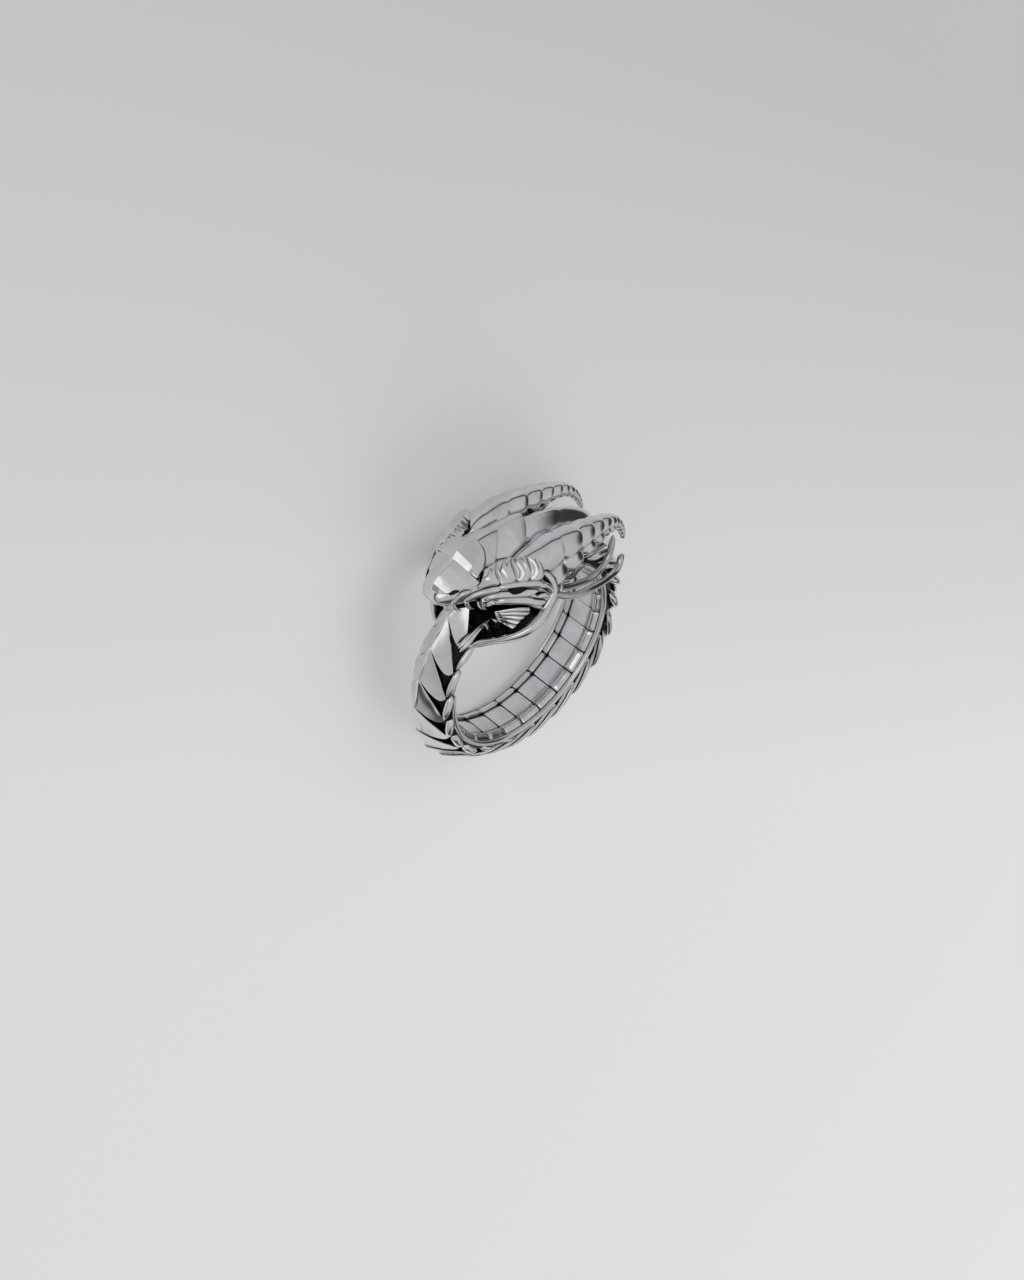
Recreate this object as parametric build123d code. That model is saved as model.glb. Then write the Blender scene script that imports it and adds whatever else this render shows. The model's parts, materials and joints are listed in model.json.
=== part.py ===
"""A cast silver ring in the form of a dragon that bites its own tail.

The metal is one solid. The dragon's body is the band: belly plates inside, ridged back scales
outside, a smooth rail and a row of beads on each side. The head lies across the top of the ring,
its lower jaw follows the finger hole, and the thin tail runs between the jaws.

The ring is built upright, in its own polar frame, and laid on its side at the end. An angle is
counted from the top of the head (+Y) towards the neck (+X), so the snout has negative angles and
the tail comes back to the mouth near 320 degrees. Z is the finger's axis. Sizes are millimetres.
"""

import os
from math import atan2, cos, degrees, pi, radians, sin
from typing import NamedTuple

from build123d import *

# Driving sizes of the finger hole and the band
FINGER_RADIUS = 9.9
PLATE_HALF_WIDTH = 1.4
PILLOW_WIDTH = 0.7
PILLOW_DROP = 0.35
RAIL_RADIUS = 0.27
RAIL_GAP = 0.12
SHOULDER_HEIGHT = 1.5
SHOULDER_HALF_WIDTH = 2.25
CORE_RIDGE_HEIGHT = 2.7
GROOVE_WIDTH = 0.2
GROOVE_DEPTH = 0.28
SLOT_REACH = 1.0

# Driving sizes of the back scales, the beads and the places where the body starts and ends
SCALE_PITCH = 15.0
FIRST_APEX = 35.5
SCALE_COUNT = 20
SCALE_SWEEP = 21.0
SCALE_RISE = 0.7
SCALE_UNDERCUT = 3.0
SIDE_SHARE = 0.65
NECK_RIDGE = 5.15
TAIL_RIDGE = 3.6
NECK_EDGE_HEIGHT = 2.7
TAIL_EDGE_HEIGHT = 1.9
NECK_HALF_WIDTH = 3.0
TAIL_HALF_WIDTH = 2.6
TAPER_END = 230.0
BEAD_LENGTH = 2.5
BEAD_HEIGHT = 1.0
BEAD_PROUD = 0.45
BEAD_CROWN = 0.6
BEAD_SIDES = 8
BEAD_START = 9.0
BEAD_COUNT = 18
PLATE_START = 9.0
PLATE_PITCH = 14.0
PLATE_COUNT = 20
BAND_START = 20.0
BAND_END = 312.0

# Driving sizes of the head
SKULL_HEIGHT = 9.5
HEAD_HALF_WIDTH = 6.3
JAW_RIM = 1.4
JAW_FLOOR = 0.75
JAW_WALL = 0.6
JAW_HALF_WIDTH = 6.4
HORN_RADIUS = 1.7
HORN_SPREAD = 3.4
CUP_MOUTH = 0.78
WHISKER_RADIUS = 0.36
LIP_FOLD_RADIUS = 0.3
ROD_STATIONS = 9
ROD_SIDES = 8
ROD_TIP = 0.6
FOLD_WIDTH = 1.25
FOLD_SWELL = 0.45
FOLD_ROOT = 1.2
FANG_RADIUS = 0.42
FANG_LENGTH = 1.7
FANG_LEAN = 1.5
FANG_TIP = 0.15
EYE_RADIUS = 0.75
NOSTRIL_RADIUS = 0.4
EYE_ANGLE = -15.0
EYE_HEIGHT = 0.47
EYE_SIDE = 0.70
NOSTRIL_ANGLE = -32.0
NOSTRIL_HEIGHT = 0.79
NOSTRIL_SIDE = 0.37

# Flat stretches of the head's forms, each a share of the form's half width
PALATE_FLAT = 0.7
PLATE_FOOT = 0.7
JAW_BOTTOM = 0.94
TONGUE_TOP = 0.8

# The jaw's side leaves its bottom at this share of the rim, and its rim and inner wall lie inside it by
# these shares of JAW_WALL
JAW_SIDE = 0.5
RIM_INSET = 0.3
INNER_INSET = 1.6

# The lower lobe of a horn cup: its size, drop and shift outwards, in shares of the cup
LOWER_LOBE = (0.66, 0.62, 0.35)

# How far one cast form runs into the next, so that they fuse, and when two points are one
BITE = 0.3
TINY = 1e-6


class HeadSection(NamedTuple):
    """A cut through the head: heights are shares of SKULL_HEIGHT, widths of HEAD_HALF_WIDTH."""

    angle: float
    palate: float
    lip_width: float
    lip: float
    cheek_width: float
    cheek: float
    brow_width: float
    brow: float
    plate_width: float
    plate: float
    ridge: float


UPPER_HEAD = [
    HeadSection(-37.0, 0.74, 0.16, 0.73, 0.20, 0.80, 0.17, 0.86, 0.10, 0.89, 0.90),
    HeadSection(-34.5, 0.67, 0.30, 0.65, 0.35, 0.77, 0.32, 0.86, 0.22, 0.90, 0.93),
    HeadSection(-30.0, 0.60, 0.40, 0.62, 0.44, 0.74, 0.40, 0.83, 0.29, 0.88, 0.94),
    HeadSection(-24.0, 0.57, 0.56, 0.55, 0.59, 0.64, 0.51, 0.76, 0.31, 0.83, 0.92),
    HeadSection(-18.0, 0.54, 0.78, 0.44, 0.80, 0.53, 0.66, 0.69, 0.33, 0.78, 0.87),
    HeadSection(-12.0, 0.40, 0.90, 0.22, 0.93, 0.36, 0.76, 0.61, 0.36, 0.72, 0.81),
    HeadSection(-6.0, 0.16, 0.97, 0.10, 1.00, 0.26, 0.79, 0.50, 0.38, 0.66, 0.75),
    HeadSection(2.0, -0.05, 0.90, 0.00, 0.95, 0.18, 0.77, 0.40, 0.35, 0.58, 0.68),
    HeadSection(12.0, -0.05, 0.68, 0.00, 0.74, 0.15, 0.62, 0.33, 0.31, 0.50, 0.57),
    HeadSection(24.0, -0.05, 0.48, 0.00, 0.54, 0.13, 0.48, 0.28, 0.27, 0.42, 0.50),
    HeadSection(40.0, -0.02, 0.34, 0.00, 0.42, 0.10, 0.40, 0.22, 0.23, 0.36, 0.45),
]


class JawSection(NamedTuple):
    """A cut through the lower jaw: shares of JAW_HALF_WIDTH, JAW_RIM and JAW_FLOOR."""

    angle: float
    width: float
    rim: float
    floor: float


LOWER_JAW = [
    JawSection(-49.5, 0.26, 0.75, 1.0),
    JawSection(-46.5, 0.42, 1.10, 1.0),
    JawSection(-41.0, 0.57, 1.00, 1.0),
    JawSection(-34.0, 0.79, 0.95, 0.9),
    JawSection(-26.0, 0.95, 0.95, 0.8),
    JawSection(-18.0, 1.02, 1.00, 0.8),
    JawSection(-10.0, 1.02, 1.15, 0.9),
    JawSection(0.0, 0.95, 1.40, 1.1),
]


class TailSection(NamedTuple):
    """A cut through the tail between the jaws: shares of the scales' sweep, foot, edge, ridge and width."""

    angle: float
    sweep: float
    foot: float
    edge: float
    ridge: float
    width: float


TAIL_TIP = [
    TailSection(330.0, 0.65, 0.70, 1.00, 0.85, 0.50),
    TailSection(338.0, 0.00, 1.20, 0.95, 0.62, 0.32),
]


class Plate(NamedTuple):
    """A snout or neck plate with a free rear edge.

    Its heights over the finger wall and its edge's drop are shares of SKULL_HEIGHT, its edge's
    half width is a share of HEAD_HALF_WIDTH.
    """

    front: float
    apex: float
    sweep: float
    front_height: float
    apex_height: float
    edge_width: float
    edge_drop: float


HEAD_PLATES = [
    Plate(-37.0, -23.5, 1.0, 0.935, 0.965, 0.37, 0.12),
    Plate(-26.0, -13.0, 1.5, 0.930, 0.855, 0.39, 0.11),
    Plate(-16.0, -6.8, 3.0, 0.850, 0.785, 0.37, 0.11),
    Plate(-10.0, 3.2, 7.0, 0.775, 0.732, 0.35, 0.16),
    Plate(0.0, 22.6, 9.0, 0.620, 0.578, 0.33, 0.17),
]


class HornJoint(NamedTuple):
    """A joint on a horn's centre line: shares of SKULL_HEIGHT, HORN_SPREAD and HORN_RADIUS."""

    angle: float
    height: float
    spread: float
    girth: float


HORN_LINE = [
    HornJoint(-8.0, 0.46, 0.97, 0.72),
    HornJoint(8.5, 0.46, 1.00, 1.00),
    HornJoint(19.0, 0.44, 1.00, 0.94),
    HornJoint(27.5, 0.46, 0.98, 0.80),
    HornJoint(34.5, 0.51, 0.96, 0.68),
    HornJoint(40.5, 0.56, 0.92, 0.56),
    HornJoint(45.5, 0.58, 0.89, 0.46),
    HornJoint(50.0, 0.57, 0.86, 0.37),
    HornJoint(54.5, 0.55, 0.84, 0.30),
    HornJoint(59.0, 0.51, 0.83, 0.22),
]


class Bend(NamedTuple):
    """A point that a rod passes: its height is a share of SKULL_HEIGHT, its side of HEAD_HALF_WIDTH."""

    angle: float
    height: float
    side: float


WHISKERS = {
    "low": [
        Bend(-4.0, 0.160, 0.90),
        Bend(8.0, 0.065, 0.99),
        Bend(20.0, 0.060, 0.99),
        Bend(34.0, 0.080, 0.95),
        Bend(43.0, 0.190, 0.88),
        Bend(49.0, 0.310, 0.80),
        Bend(46.0, 0.360, 0.79),
    ],
    "high": [
        Bend(-2.0, 0.230, 0.78),
        Bend(12.0, 0.090, 0.84),
        Bend(28.0, 0.085, 0.87),
        Bend(36.0, 0.240, 0.79),
        Bend(41.0, 0.420, 0.71),
        Bend(39.2, 0.475, 0.70),
    ],
    "short": [Bend(0.0, 0.330, 0.72), Bend(12.0, 0.260, 0.72), Bend(25.0, 0.270, 0.68)],
}
LIP_FOLDS = {
    "lip": [
        Bend(-35.5, 0.760, 0.33),
        Bend(-30.0, 0.630, 0.48),
        Bend(-24.0, 0.525, 0.71),
        Bend(-18.0, 0.380, 0.87),
        Bend(-11.0, 0.170, 0.96),
    ],
    "cheek": [
        Bend(-31.0, 0.735, 0.44),
        Bend(-24.0, 0.650, 0.62),
        Bend(-17.0, 0.515, 0.79),
        Bend(-8.0, 0.305, 0.93),
    ],
}


class Fang(NamedTuple):
    """A fang: shares of SKULL_HEIGHT for its root, of HEAD_HALF_WIDTH for its side, of FANG_LENGTH."""

    angle: float
    root: float
    side: float
    length: float


UPPER_FANGS = [
    Fang(-36.2, 0.73, 0.19, 0.60),
    Fang(-34.0, 0.73, 0.36, 0.75),
    Fang(-31.0, 0.66, 0.46, 0.95),
    Fang(-28.0, 0.61, 0.57, 1.15),
]
LOWER_FANGS = [
    Fang(-33.0, 0.095, 0.62, 0.90),
    Fang(-28.5, 0.095, 0.73, 0.85),
]


class Fold(NamedTuple):
    """A fold of the brow: heights are shares of SKULL_HEIGHT, sides of HEAD_HALF_WIDTH."""

    angle: float
    foot: float
    foot_side: float
    crest: float
    crest_side: float


BROW_FOLDS = [
    Fold(-20.5, 0.66, 0.62, 0.81, 0.35),
    Fold(-16.3, 0.62, 0.70, 0.81, 0.41),
    Fold(-12.0, 0.55, 0.78, 0.76, 0.49),
    Fold(-7.5, 0.45, 0.83, 0.63, 0.63),
]


class FoldStation(NamedTuple):
    """A place across a fold: its distance from the middle in half widths and its share of the swell."""

    across: float
    swell: float


FOLD_STATIONS = [
    FoldStation(-1.0, 0.0),
    FoldStation(-0.45, 0.8),
    FoldStation(0.0, 1.0),
    FoldStation(0.45, 0.8),
    FoldStation(1.0, 0.0),
]


class FoldReach(NamedTuple):
    """How far a fold swells upwards and sideways at its foot or crest, in shares of its full swell."""

    up: float
    side: float


FOLD_FOOT = FoldReach(0.3, 0.6)
FOLD_CREST = FoldReach(0.8, 0.3)


def polar(angle, height, z):
    """A point at an angle from the head, a height over the finger wall and a place along the axis."""
    reach = FINGER_RADIUS + height
    return Vector(reach * sin(radians(angle)), reach * cos(radians(angle)), z)


def polyhedron(rings):
    """A closed solid through rings of points, one ring a cut, with three-sided walls."""
    count = len(rings[0])
    faces = [Face(Wire.make_polygon(rings[0])), Face(Wire.make_polygon(rings[-1]))]
    for near, far in zip(rings, rings[1:]):
        for i in range(count):
            j = (i + 1) % count
            for corners in ([near[i], near[j], far[j]], [near[i], far[j], far[i]]):
                if all((corners[k] - corners[k - 1]).length > TINY for k in range(3)):
                    faces.append(Face(Wire.make_polygon(corners)))
    return Solid(Shell(faces)).fix()


def mirrored(half):
    """The points of a half section, and then the same points on the other side."""
    return half + [Vector(p.X, p.Y, -p.Z) for p in reversed(half) if abs(p.Z) > TINY]


def both_sides(solids):
    """The solids and their mirror images on the other side of the ring."""
    return solids + [s.mirror(Plane.XY) for s in solids]


def tapered(angle, at_neck, at_tail):
    """A size that runs evenly from the neck to where the body stops getting thinner."""
    share = (angle - FIRST_APEX) / (TAPER_END - FIRST_APEX)
    return at_neck + (at_tail - at_neck) * min(1.0, max(0.0, share))


def band_core():
    """The body's core: belly plates and pillows inside, rails at the sides, a roof outside."""
    pillow_edge = PLATE_HALF_WIDTH + PILLOW_WIDTH
    rail_centre = pillow_edge + RAIL_GAP + RAIL_RADIUS
    rail_height = PILLOW_DROP + RAIL_RADIUS
    half = [
        (0, 0),
        (PLATE_HALF_WIDTH, 0),
        (PLATE_HALF_WIDTH, GROOVE_DEPTH),
        (PLATE_HALF_WIDTH + RAIL_GAP, GROOVE_DEPTH),
        (PLATE_HALF_WIDTH + RAIL_GAP, PILLOW_DROP / 4),
        (pillow_edge, PILLOW_DROP),
        (pillow_edge, PILLOW_DROP + GROOVE_DEPTH),
        (rail_centre - RAIL_RADIUS, rail_height),
        (rail_centre - RAIL_RADIUS / 2, rail_height - RAIL_RADIUS),
        (rail_centre + RAIL_RADIUS / 2, rail_height - RAIL_RADIUS),
        (rail_centre + RAIL_RADIUS, rail_height),
        (rail_centre + RAIL_RADIUS / 2, rail_height + RAIL_RADIUS),
        (SHOULDER_HALF_WIDTH, rail_height + RAIL_RADIUS + BITE),
        (SHOULDER_HALF_WIDTH, SHOULDER_HEIGHT),
        (0, CORE_RIDGE_HEIGHT),
    ]
    points = [polar(BAND_END, height, z) for z, height in half]
    section = Face(Wire.make_polygon(mirrored(points)))
    return Solid.revolve(section, BAND_END - BAND_START, Axis.Z)


def chevron(angle, sweep, foot, edge, ridge, undercut=0.0):
    """A cut across the back whose sides trail behind its ridge; an undercut pulls its top backwards.

    The foot and the edge are pairs of a height over the finger wall and a half width.
    """
    foot_height, foot_width = foot
    edge_height, edge_width = edge
    return mirrored([
        polar(angle, foot_height, 0),
        polar(angle - sweep, foot_height, foot_width),
        polar(angle - sweep - undercut, edge_height, edge_width),
        polar(angle - undercut, ridge, 0),
    ])


def back():
    """The back from under the head to the tail's tip: each scale rises, ends in a free edge and drops."""
    foot = (SHOULDER_HEIGHT - 2 * BITE, SHOULDER_HALF_WIDTH - BITE)
    start = FIRST_APEX - SCALE_SWEEP - SCALE_PITCH
    drop = SCALE_RISE * SIDE_SHARE
    neck_edge = (NECK_EDGE_HEIGHT - drop, NECK_HALF_WIDTH - drop)
    rings = [chevron(start, 0.0, foot, neck_edge, NECK_RIDGE - SCALE_RISE)]
    for i in range(SCALE_COUNT):
        apex = FIRST_APEX + i * SCALE_PITCH
        ridge = tapered(apex, NECK_RIDGE, TAIL_RIDGE)
        edge = tapered(apex, NECK_EDGE_HEIGHT, TAIL_EDGE_HEIGHT)
        width = tapered(apex, NECK_HALF_WIDTH, TAIL_HALF_WIDTH)
        tucked_edge = (edge - drop, width - drop)
        rings.append(chevron(apex, SCALE_SWEEP, foot, (edge, width), ridge))
        rings.append(chevron(apex, SCALE_SWEEP, foot, tucked_edge, ridge - SCALE_RISE, SCALE_UNDERCUT))
    for s in TAIL_TIP:
        tail_foot = (foot[0] * s.foot, foot[1] * s.width)
        tail_edge = (TAIL_EDGE_HEIGHT * s.edge, TAIL_HALF_WIDTH * s.width)
        rings.append(chevron(s.angle, SCALE_SWEEP * s.sweep, tail_foot, tail_edge, TAIL_RIDGE * s.ridge))
    return polyhedron(rings)


def scale_solid(free, tucked):
    """A scale from its free edge's points and the same points where it is tucked under."""
    faces = []
    for ring in (free, tucked):
        # A chevron edge bends at the ridge, so its end is a fan of triangles
        foot = ring[0]
        faces += [[foot, ring[i], ring[i + 1]] for i in range(1, len(ring) - 1)]
    for i in range(len(free)):
        j = (i + 1) % len(free)
        faces += [[free[i], free[j], tucked[j]], [free[i], tucked[j], tucked[i]]]
    return Solid(Shell([Face(Wire.make_polygon(f)) for f in faces])).fix()


def head_plate(plate):
    """One broad plate of the snout or the neck, its free edge towards the neck."""
    width = HEAD_HALF_WIDTH * plate.edge_width
    foot = (SKULL_HEIGHT * (plate.front_height - 2 * plate.edge_drop), width * PLATE_FOOT)

    def cut(angle, height):
        edge = (SKULL_HEIGHT * (height - plate.edge_drop), width)
        return chevron(angle, plate.sweep, foot, edge, SKULL_HEIGHT * height)

    return scale_solid(cut(plate.apex, plate.apex_height), cut(plate.front, plate.front_height))


def bead_height(angle):
    """How high over the finger wall the middle of the row of beads is."""
    return (PILLOW_DROP + 2 * RAIL_RADIUS + tapered(angle, NECK_EDGE_HEIGHT, TAIL_EDGE_HEIGHT)) / 2


def bead(angle):
    """One pillow of the row between the rail and the back scales."""
    middle = bead_height(angle)
    half_span = degrees(BEAD_LENGTH / 2 / (FINGER_RADIUS + middle))

    def outline(share, z):
        points = []
        for i in range(BEAD_SIDES):
            turn = 2 * pi * i / BEAD_SIDES
            along = angle + half_span * share * sin(turn)
            points.append(polar(along, middle + BEAD_HEIGHT / 2 * share * cos(turn), z))
        return points

    return polyhedron([
        outline(1.0, SHOULDER_HALF_WIDTH - BITE),
        outline(1.0, SHOULDER_HALF_WIDTH + BEAD_PROUD / 3),
        outline(BEAD_CROWN, SHOULDER_HALF_WIDTH + BEAD_PROUD),
    ])


def plate_joint(angle):
    """The slot between two belly plates."""
    half_length = PLATE_HALF_WIDTH + PILLOW_WIDTH + RAIL_GAP / 2
    slot = Solid.make_box(GROOVE_WIDTH, GROOVE_DEPTH + SLOT_REACH, 2 * half_length)
    slot = slot.translate(Vector(-GROOVE_WIDTH / 2, FINGER_RADIUS - SLOT_REACH, -half_length))
    return slot.rotate(Axis.Z, -angle)


def upper_head():
    """The skull, the snout and the neck in one form, without its plates."""
    rings = []
    for s in UPPER_HEAD:
        tall, wide = SKULL_HEIGHT, HEAD_HALF_WIDTH
        rings.append(mirrored([
            polar(s.angle, s.palate * tall, 0),
            polar(s.angle, s.palate * tall, s.lip_width * wide * PALATE_FLAT),
            polar(s.angle, s.lip * tall, s.lip_width * wide),
            polar(s.angle, s.cheek * tall, s.cheek_width * wide),
            polar(s.angle, s.brow * tall, s.brow_width * wide),
            polar(s.angle, s.plate * tall, s.plate_width * wide),
            polar(s.angle, s.ridge * tall, 0),
        ]))
    return polyhedron(rings)


def lower_jaw():
    """The lower jaw: a tray with a raised rim, wide at the cheeks and narrow at the chin."""
    rings = []
    for s in LOWER_JAW:
        width = s.width * JAW_HALF_WIDTH
        rings.append(mirrored([
            polar(s.angle, -BITE, 0),
            polar(s.angle, -BITE, width * JAW_BOTTOM),
            polar(s.angle, s.rim * JAW_RIM * JAW_SIDE, width),
            polar(s.angle, s.rim * JAW_RIM, width - JAW_WALL * RIM_INSET),
            polar(s.angle, s.floor * JAW_FLOOR, width - JAW_WALL * INNER_INSET),
            polar(s.angle, s.floor * JAW_FLOOR, 0),
        ]))
    return polyhedron(rings)


def horn():
    """The +Z horn: cups that overlap backwards, each with a lower lobe at its outer side."""

    def joint(at, drop, out):
        girth = HORN_RADIUS * at.girth
        height = SKULL_HEIGHT * at.height - drop * girth
        return polar(at.angle, height, HORN_SPREAD * at.spread + out * girth)

    cups = []
    for here, there in zip(HORN_LINE, HORN_LINE[1:]):
        for share, drop, out in ((1.0, 0.0, 0.0), LOWER_LOBE):
            start = joint(here, drop, out)
            way = joint(there, drop, out) - start
            girth = HORN_RADIUS * share
            place = Plane(origin=start, z_dir=way)
            mouth = girth * here.girth * CUP_MOUTH
            cups.append(Solid.make_cone(mouth, girth * there.girth, way.length, place))
    return cups


def on_head(angle, height, side):
    """A point of the head: its height is a share of SKULL_HEIGHT, its side of HEAD_HALF_WIDTH."""
    return polar(angle, SKULL_HEIGHT * height, HEAD_HALF_WIDTH * side)


def rod(bends, radius):
    """A smooth round rod through a few bends, with a rounded end."""
    path = Edge.make_spline([on_head(b.angle, b.height, b.side) for b in bends])
    shares = [(i / ROD_STATIONS, 1.0) for i in range(ROD_STATIONS + 1)]
    shares.append((1.0 + radius / path.length, ROD_TIP))
    rings = []
    for share, girth in shares:
        way = path % min(share, 1.0)
        centre = path @ min(share, 1.0) + way * max(0.0, share - 1.0) * path.length
        across = Vector(0, 0, 1).cross(way).normalized()
        up = way.cross(across)
        turns = [2 * pi * i / ROD_SIDES for i in range(ROD_SIDES)]
        rings.append([centre + (across * cos(t) + up * sin(t)) * radius * girth for t in turns])
    return polyhedron(rings)


def fang(f, way):
    """One tooth as a cone that leans back; way is -1 for the upper jaw and 1 for the lower."""
    reach = way * FANG_LENGTH * f.length / SKULL_HEIGHT
    root = on_head(f.angle, f.root - way * BITE / SKULL_HEIGHT, f.side)
    tip = on_head(f.angle + FANG_LEAN, f.root + reach, f.side)
    axis = tip - root
    place = Plane(origin=root, z_dir=axis)
    return Solid.make_cone(FANG_RADIUS, FANG_RADIUS * FANG_TIP, axis.length, place)


def brow_fold(f):
    """One fold of the brow: a rounded wedge from the plate's edge down to the eye."""
    foot, crest = SKULL_HEIGHT * f.foot, SKULL_HEIGHT * f.crest
    low, high = HEAD_HALF_WIDTH * f.foot_side, HEAD_HALF_WIDTH * f.crest_side
    half = degrees(FOLD_WIDTH / 2 / (FINGER_RADIUS + foot))
    rings = []
    for station in FOLD_STATIONS:
        angle = f.angle + half * station.across
        out = FOLD_SWELL * station.swell
        rings.append([
            polar(angle, foot - FOLD_ROOT, low - FOLD_ROOT),
            polar(angle, foot + out * FOLD_FOOT.up, low + out * FOLD_FOOT.side),
            polar(angle, (foot + crest) / 2 + out, (low + high) / 2 + out),
            polar(angle, crest + out * FOLD_CREST.up, high + out * FOLD_CREST.side),
            polar(angle, crest - FOLD_ROOT, high - FOLD_ROOT),
        ])
    return polyhedron(rings)


class TongueSection(NamedTuple):
    """A cut across the tongue: its ridge is a share of JAW_RIM, its half width of JAW_HALF_WIDTH."""

    angle: float
    ridge: float
    width: float


TONGUE = [
    TongueSection(-2.0, 1.35, 0.43),
    TongueSection(-12.0, 1.20, 0.39),
    TongueSection(-20.0, 0.90, 0.26),
    TongueSection(-26.0, 0.65, 0.12),
]


def tongue():
    """The tongue, a low roof on the floor of the lower jaw."""
    rings = []
    for s in TONGUE:
        width = JAW_HALF_WIDTH * s.width
        rings.append(mirrored([
            polar(s.angle, JAW_FLOOR - BITE, 0),
            polar(s.angle, JAW_FLOOR - BITE, width),
            polar(s.angle, JAW_RIM * s.ridge * TONGUE_TOP, width * TONGUE_TOP),
            polar(s.angle, JAW_RIM * s.ridge, 0),
        ]))
    return polyhedron(rings)


def eye():
    """The +Z eyeball in its socket under the brow."""
    middle = on_head(EYE_ANGLE, EYE_HEIGHT, EYE_SIDE)
    return Solid.make_sphere(EYE_RADIUS, Plane(origin=middle))


def nostril():
    """The +Z nostril's hollow."""
    middle = on_head(NOSTRIL_ANGLE, NOSTRIL_HEIGHT, NOSTRIL_SIDE)
    return Solid.make_sphere(NOSTRIL_RADIUS, Plane(origin=middle))


def fused(first, others):
    """One solid from a form and the forms that grow out of it."""
    return first.fuse(*others).clean()


def body():
    """The band: its core with scales, beads and the belly plates' slots, and the tail's tip."""
    beads = both_sides([bead(BAND_START + BEAD_START + i * SCALE_PITCH) for i in range(BEAD_COUNT)])
    band = fused(band_core(), [back()] + beads)
    slots = [plate_joint(BAND_START + PLATE_START + i * PLATE_PITCH) for i in range(PLATE_COUNT)]
    return band.cut(*slots)


def head():
    """The upper head with its plates, horns, brows, eyes, lips and upper teeth."""
    growths = [head_plate(plate) for plate in HEAD_PLATES]
    growths += both_sides(horn())
    growths += both_sides([brow_fold(fold) for fold in BROW_FOLDS])
    growths += both_sides([rod(bends, LIP_FOLD_RADIUS) for bends in LIP_FOLDS.values()])
    growths += both_sides([fang(tooth, -1.0) for tooth in UPPER_FANGS])
    growths += both_sides([eye()])
    return fused(upper_head(), growths).cut(*both_sides([nostril()]))


def jaw():
    """The lower jaw with its tongue, lower teeth and the whiskers behind the cheeks."""
    growths = [tongue()]
    growths += both_sides([fang(tooth, 1.0) for tooth in LOWER_FANGS])
    growths += both_sides([rod(bends, WHISKER_RADIUS) for bends in WHISKERS.values()])
    return fused(lower_jaw(), growths)


def upright_ring():
    """The whole ring as one casting, upright; the finger hole is cut last, so nothing stands in it."""
    casting = head().fuse(jaw()).fuse(body())
    reach = 2 * (JAW_HALF_WIDTH + HEAD_HALF_WIDTH)
    finger = Solid.make_cylinder(FINGER_RADIUS, reach, Plane(origin=(0, 0, -reach / 2)))
    return casting.cut(finger).solids()[0]


def lying_lean():
    """The finger axis' lean in degrees when the ring lies on a cheek and on its lowest beads."""
    cheek = JAW_HALF_WIDTH * max(s.width for s in LOWER_JAW)
    drop = cheek - (SHOULDER_HALF_WIDTH + BEAD_PROUD)
    return degrees(atan2(drop, 2 * FINGER_RADIUS + bead_height(BAND_END / 2)))


ring = upright_ring().rotate(Axis.X, lying_lean())
os.makedirs("parts", exist_ok=True)
export_step(ring, "parts/cast_ring.step")
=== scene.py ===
"""A cast silver dragon ring, its recesses darkened with painted shade, lying on its side on a pale floor.

The metal is built in the ring's own upright frame, in millimetres, and turned into the part's frame at
the end. An angle runs from the top of the head (+Y) over the neck (+X) round to the mouth, a height is
counted outwards from the finger wall, and a side is the distance from the ring's middle plane along Z.
"""

import json
import logging
import math
from dataclasses import dataclass, field
from enum import Enum
from typing import Callable, Iterable, NamedTuple, Self, Sequence

import bmesh
import bpy
from mathutils import Matrix, Vector


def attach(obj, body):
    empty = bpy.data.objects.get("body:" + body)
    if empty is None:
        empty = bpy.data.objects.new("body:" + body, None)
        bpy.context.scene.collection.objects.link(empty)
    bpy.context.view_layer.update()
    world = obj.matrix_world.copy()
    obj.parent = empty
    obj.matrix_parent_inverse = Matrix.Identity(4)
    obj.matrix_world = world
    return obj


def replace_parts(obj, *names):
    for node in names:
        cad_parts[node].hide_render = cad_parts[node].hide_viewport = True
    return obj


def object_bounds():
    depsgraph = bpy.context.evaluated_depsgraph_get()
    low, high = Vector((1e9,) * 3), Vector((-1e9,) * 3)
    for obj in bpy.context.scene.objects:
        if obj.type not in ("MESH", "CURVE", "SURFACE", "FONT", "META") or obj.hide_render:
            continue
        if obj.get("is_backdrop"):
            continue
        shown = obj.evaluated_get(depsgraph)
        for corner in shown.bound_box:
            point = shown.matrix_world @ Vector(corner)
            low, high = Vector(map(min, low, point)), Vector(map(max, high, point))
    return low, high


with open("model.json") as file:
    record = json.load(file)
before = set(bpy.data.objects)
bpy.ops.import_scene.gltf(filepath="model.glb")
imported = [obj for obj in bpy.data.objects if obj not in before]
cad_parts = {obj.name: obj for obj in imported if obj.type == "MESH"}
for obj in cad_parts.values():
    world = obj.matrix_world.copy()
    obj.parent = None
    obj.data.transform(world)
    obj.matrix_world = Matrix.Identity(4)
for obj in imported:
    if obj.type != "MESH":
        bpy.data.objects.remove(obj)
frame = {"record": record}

LOG = logging.getLogger("dragon_ring")
MILLIMETRE = 0.001
FULL_TURN = 2.0 * math.pi
SIDEWAYS = Vector((0.0, 0.0, 1.0))

Value = float | Vector
Colour = tuple[float, float, float]
Spot = tuple[float, float, float]
Route = tuple[Spot, ...]
Table = tuple[tuple[float, ...], ...]
Shape = Callable[[float, float], Vector]
Girth = Callable[[float], tuple[float, float]]


class Side(Enum):
    """The two sides of the ring's middle plane."""

    NEAR = 1.0
    FAR = -1.0


def lerp(start: Value, end: Value, share: float) -> Value:
    """The number or place a share of the way from start to end."""
    return start + (end - start) * share


def spread(start: float, end: float, steps: int) -> list[float]:
    """Numbers from start to end at even steps."""
    return [lerp(start, end, step / steps) for step in range(steps + 1)]


def circle(corners: int) -> list[float]:
    """The turns, in radians, at which a circle's corners lie."""
    return [FULL_TURN * corner / corners for corner in range(corners)]


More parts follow.
